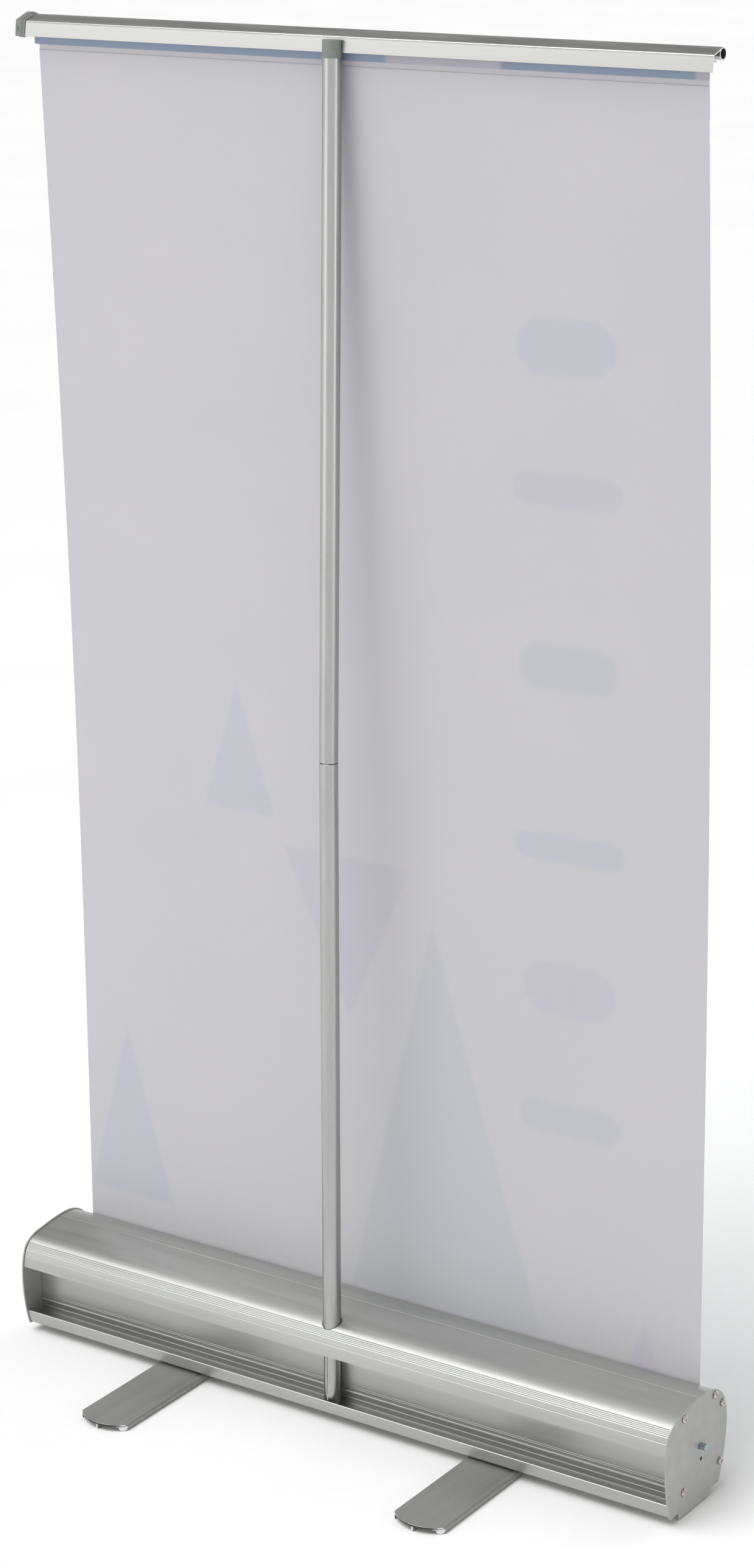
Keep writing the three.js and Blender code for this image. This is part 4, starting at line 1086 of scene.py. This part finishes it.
@dataclass
class Rail:
    """The top rail, its end cap and the header strip. The section's origin is on the film's plane."""

    y: float = -67.0
    z: float = 1543.6
    half: float = 435.0
    wall: float = 1.3
    flap_bottom: tuple[float, float] = (10.95, -16.65)
    flap_top: tuple[float, float] = (8.15, -0.65)
    nose: tuple[float, float] = (-9.8, -0.7)
    nose_radius: float = 6.5
    lip_drop: float = 7.0

    def section(self) -> np.ndarray:
        """The rail's outer loop: up the flap, along the web, round the nose and back to the inner lip."""
        bottom, top, nose = (np.array(v) for v in (self.flap_bottom, self.flap_top, self.nose))
        half = self.wall / 2
        web_end = nose + (0, self.nose_radius - half)
        up = (top - bottom) / np.linalg.norm(top - bottom)
        back = (web_end - top) / np.linalg.norm(web_end - top)
        n_flap, n_web = np.array([up[1], -up[0]]), np.array([back[1], -back[0]])
        mitre = (n_flap + n_web) / (1 + n_flap @ n_web) * half
        outer_meet = line_on_circle(top + mitre, back, nose, self.nose_radius)
        inner_meet = line_on_circle(top - mitre, back, nose, self.nose_radius)
        a, b = (math.degrees(math.atan2(*(m - nose)[::-1])) for m in (outer_meet, inner_meet))
        corner = top + mitre
        bend = bezier(tuple(corner - up * 1.6), tuple(corner), tuple(corner + back * 1.6), steps=8)
        ribs = np.linspace(0.12, 0.88, 9)[:, None]
        first = bottom + n_flap * half + up * 0.4
        face = first + (corner - up * 2.0 - first) * ribs - n_flap * 0.05 * (np.arange(9) % 2)[:, None]
        lip_y = top[0] + (bottom[0] - top[0]) * (self.lip_drop + top[1]) / (top[1] - bottom[1]) - half * 1.02
        upper, lower = half - self.lip_drop, -half - self.lip_drop
        inside = [top - mitre, (lip_y - 0.02, upper), (2.05, upper), (2.05, lower), (lip_y + 0.2, lower),
                  bottom - n_flap * half + up * 0.3, bottom - n_flap * (half - 0.3)]
        return without_doubles(np.vstack([
            [bottom + n_flap * (half - 0.3), bottom + n_flap * half + up * 0.3], face, bend, [outer_meet],
            arc(self.nose_radius, a, 360 + b, 60, nose), inside,
        ]))

    def extrusion(self) -> bpy.types.Object:
        """The rail, sawn square at both ends, with the nose's bore right through."""
        loop = self.section() + (self.y, self.z)
        bore = circle(self.nose_radius - self.wall, 48, np.array(self.nose) + (self.y, self.z))
        return carried("top_rail_extruded", [(float(x), loop) for x in np.linspace(-self.half, self.half, 9)],
                       holes=[bore], cut_ends=True)

    def cap_outline(self, growth: float) -> np.ndarray:
        """The end cap's outline: round the rail's nose and flap, a little outside them."""
        half = self.wall / 2
        bottom, top = self.flap_bottom, self.flap_top
        nose_arc = arc(self.nose_radius + growth, 72, 270, 30, self.nose)
        corners = [(bottom[0] + half + growth, bottom[1] - growth),
                   (top[0] + half + growth, top[1] + half + growth * 0.5)]
        rear = rounded([*corners, tuple(nose_arc[0])], [1.2, 1.8, 0.3], 6)[:14]
        foot = (bottom[0] - half - growth * 2, bottom[1] - growth)
        return np.vstack([rear, nose_arc, [foot]]) + (self.y, self.z)

    def end_cap(self) -> bpy.types.Object:
        """A collar against the rail, a larger block beyond it with soft edges, and a dimple in its rear."""
        collar, block = self.cap_outline(1.0), self.cap_outline(2.0)
        x = self.half
        body = carried("rail_end_cap_moulded", [
            (x + 0.3, inset(collar, 0.3)), (x + 0.6, collar), (x + 3.5, collar), (x + 3.8, inset(block, 0.5)),
            (x + 4.3, block), (x + 11.8, block), (x + 12.5, inset(block, 0.25)),
            (x + 12.8, inset(block, 0.9))], sharp=34)
        dimple = turned("dimple", [(0.9, 0), (1.3, 2.0)], Axis(
            (x + 9.6, self.y + 11.2, self.z - 7.5), (x + 9.6, self.y + 12.2, self.z - 7.3)), 32)
        return cut_by(body, dimple)

    def strip(self) -> bpy.types.Object:
        """The header strip behind the film, with the barb that rests on the rail's inner lip."""
        loop = rounded([(0.55, -25.5), (1.75, -25.5), (1.75, -6.05), (2.95, -6.05), (1.75, -3.65),
                        (1.75, -2.6), (0.55, -2.6)], [0.3, 0.3, 0.1, 0.2, 0.1, 0.2, 0.2], 3)
        loop = loop + (self.y, self.z)
        return carried("header_strip_extruded", [(float(x), loop) for x in np.linspace(-425, 429.5, 9)])

    def build(self) -> None:
        """Builds and dresses the rail."""
        report(self.extrusion(), "rail", "anodised_aluminium", [FINISH.rail, FINISH.sawn], "top_rail")
        report(self.end_cap(), "rail", "grey_plastic", [FINISH.grey_plastic], "rail_end_cap")
        report(self.strip(), "rail", "strip_pvc", [FINISH.strip], "header_strip")


@dataclass
class Film:
    """The banner: film drawn off the front of the roller, out of the slot and up to the rail."""

    width: float = 850.0
    thickness: float = 0.5
    leave: tuple[float, float] = (-32.36, 70.0)
    slot: tuple[float, float] = (-50.0, 120.0)
    top: tuple[float, float] = (-66.97, 1541.0)
    bow: float = 11.0
    film_end: float = 1512.0
    head_start: float = 1480.0

    def sheet(self, name: str, rows: np.ndarray, shift: float) -> bpy.types.Object:
        """A closed thin sheet on a grid of widths and rows.

        Each point's depth is its row's, less bow times sin(pi v) times |u| to the power 2.4, where u runs
        from -1 to 1 across and v from the slot to the rail. A soft fold beside the pole is taken off, and
        shallow waves are added. The rear layer comes first, then the front one, a thickness in front of it.

        Args:
            name: the piece's name.
            rows: (y, z) of each row, going up.
            shift: how far in front of its plane it lies.

        Returns:
            The object, with a UV map in metres.
        """
        u = np.linspace(-1, 1, 86)
        v = np.clip((rows[:, 1] - self.slot[1]) / (self.top[1] - self.slot[1]), 0, 1)
        x = np.broadcast_to(u * self.width / 2, (len(rows), len(u)))
        swell = np.sin(np.pi * v)[:, None]
        fold = 2.6 * np.exp(-(((x + 62 + 30 * v[:, None]) / 34) ** 2)) * swell
        waves = 0.45 * np.sin(u * 7.0 + 0.6)[None] * swell
        y = rows[:, :1] - self.bow * swell * abs(u[None]) ** 2.4 - fold + waves - shift
        z = np.broadcast_to(rows[:, 1:], y.shape)
        back = np.stack([x, y, z], -1).reshape(-1, 3)
        front = back - (0, self.thickness, 0)
        n, m = len(rows), len(u)
        i, j = np.arange(n - 1)[:, None], np.arange(m - 1)[None]
        a = (i * m + j).ravel()
        rear = np.stack([a, a + m, a + m + 1, a + 1], 1)
        face = rear[:, ::-1] + n * m
        ring = np.r_[np.arange(m), np.arange(1, n) * m + m - 1, (n - 1) * m + np.arange(m - 2, -1, -1),
                     np.arange(n - 2, 0, -1) * m]
        after = np.roll(ring, -1)
        edge = np.stack([ring, after, after + n * m, ring + n * m], 1)
        faces = [tuple(f) for f in np.vstack([rear, edge, face]).tolist()]
        piece = mesh_piece(name, np.vstack([back, front]), faces, 60, len(face))
        corner = np.empty(len(piece.data.loops), np.int32)
        piece.data.loops.foreach_get("vertex_index", corner)
        flat = np.vstack([back, front])[:, [0, 2]] * MM
        layer = piece.data.uv_layers.new(name="film")
        layer.data.foreach_set("uv", flat[corner].ravel())
        return piece

    def at_height(self, z: float) -> tuple[float, float]:
        """The film's plane at a height: a straight line from the slot to the rail."""
        share = (z - self.slot[1]) / (self.top[1] - self.slot[1])
        return self.slot[0] + share * (self.top[0] - self.slot[0]), z

    def build(self) -> None:
        """Builds the film, and the short head in front of its upper edge that stays with the rail."""
        first = np.linspace(self.leave, self.slot, 7)[:-1]
        rest = np.linspace(self.slot, self.at_height(self.film_end), 118)
        film = self.sheet("graphic_film", np.vstack([first, rest]), -self.thickness / 2)
        film.data.materials.append(FINISH.film_back)
        film.data.materials.append(FINISH.film_front)
        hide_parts("graphic_panel")
        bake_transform(film)
        head = self.sheet("film_head", np.linspace(self.at_height(self.head_start), self.top, 8), 0.35)
        report(head, "rail", "graphic_film", [FINISH.film_back, FINISH.film_front])
        LOG.info("graphic_film and its head: done")


# ---------------------------------------------------------------- the studio


@dataclass
class Studio:
    """A pale floor, a pale room that darkens overhead, two soft suns and the camera."""

    lens: float = 83.582
    place: tuple[float, float, float] = (-2.22807, 3.03858, 1.95233)
    azimuth: float = 215.6013
    elevation: float = 17.7228
    roll: float = -1.5998

    def floor(self) -> None:
        """One very large pale plane of matt paint."""
        reach = 60000.0
        floor = mesh_piece("floor", np.array([(-reach, -reach, 0), (reach, -reach, 0), (reach, reach, 0),
                                              (-reach, reach, 0)]), [(0, 1, 2, 3)])
        floor.data.materials.append(Surface("floor_matt_paint", "#ffffff", "#fbfbfb", 0.8, 0.0, 4.0, 400.0,
                                            0.01).make())

    def room(self) -> None:
        """The room: white at the horizon, falling to grey overhead."""
        world = bpy.data.worlds.new("room")
        bpy.context.scene.world = world
        world.use_nodes = True
        tree = world.node_tree
        tree.nodes.clear()
        up = add_node(tree, "ShaderNodeSeparateXYZ", links={
            0: add_node(tree, "ShaderNodeTexCoord").outputs["Generated"]}).outputs["Z"]
        colour = two_tone(tree, up, (0.12, (1.0, 1.0, 1.0, 1.0)), (0.62, (0.2, 0.2, 0.2, 1.0)))
        glow = add_node(tree, "ShaderNodeBackground", {"Strength": 1.0}, {"Color": colour})
        add_node(tree, "ShaderNodeOutputWorld", links={"Surface": glow.outputs[0]})

    def sun(self, name: str, direction: tuple[float, float, float], strength: float, spread: float) -> None:
        """A soft sun that shines from a direction."""
        light = bpy.data.lights.new(name, "SUN")
        light.energy, light.angle = strength, math.radians(spread)
        lamp = place_object(name, light)
        lamp.rotation_euler = Vector(direction).to_track_quat("Z", "Y").to_euler()

    def softbox(self, name: str, azimuth: float, distance: float, width: float, height: float,
                power: float) -> None:
        """A tall softbox that stands a little off the floor and faces the stand.

        Args:
            name: the light's name.
            azimuth: its direction from the stand, in degrees from +X towards +Y.
            distance: how far away it stands, in metres.
            width: the box's width, in metres.
            height: the box's height, in metres.
            power: its power, in watts.
        """
        light = bpy.data.lights.new(name, "AREA")
        light.shape, light.size, light.size_y, light.energy = "RECTANGLE", width, height, power
        lamp = place_object(name, light)
        turn = math.radians(azimuth)
        lamp.location = (distance * math.cos(turn), distance * math.sin(turn), height / 2 + 0.3)
        away = Vector((math.cos(turn), math.sin(turn), 0.12))
        lamp.rotation_euler = away.to_track_quat("Z", "Y").to_euler()

    def camera(self) -> None:
        """The camera, turned by its azimuth, elevation and roll."""
        az, el, roll = (math.radians(v) for v in (self.azimuth, self.elevation, self.roll))
        back = Vector((math.sin(az) * math.cos(el), -math.cos(az) * math.cos(el), math.sin(el)))
        right = Vector((0, 0, 1)).cross(back).normalized()
        above = back.cross(right)
        x = right * math.cos(roll) + above * math.sin(roll)
        y = above * math.cos(roll) - right * math.sin(roll)
        data = bpy.data.cameras.new("view")
        data.lens, data.sensor_width, data.sensor_fit = self.lens, 36.0, "AUTO"
        data.clip_end = 200
        camera = place_object("view", data)
        turn = Matrix((x, y, back)).transposed().to_4x4()
        camera.matrix_world = Matrix.Translation(Vector(self.place)) @ turn
        bpy.context.scene.camera = camera

    def build(self) -> None:
        """Builds the studio."""
        bpy.context.scene.view_settings.view_transform = "Standard"
        self.camera()
        self.floor()
        self.room()
        self.sun("overhead", (0.25, 0.3, 0.9), 2.1, 50)
        self.sun("front", (-0.2, -0.8, 0.6), 0.4, 40)
        self.softbox("key", 54, 3.6, 2.3, 2.2, 13)
        self.softbox("fill", 178, 3.4, 0.8, 2.2, 8)


def main() -> None:
    """Builds the studio and then the stand, piece by piece."""
    pole = Pole()
    Studio().build()
    Cassette().build(pole)
    Roller().build()
    for side in Side:
        Foot(side).build()
    pole.build()
    Rail().build()
    Film().build()


if __name__ == "__main__":
    main()
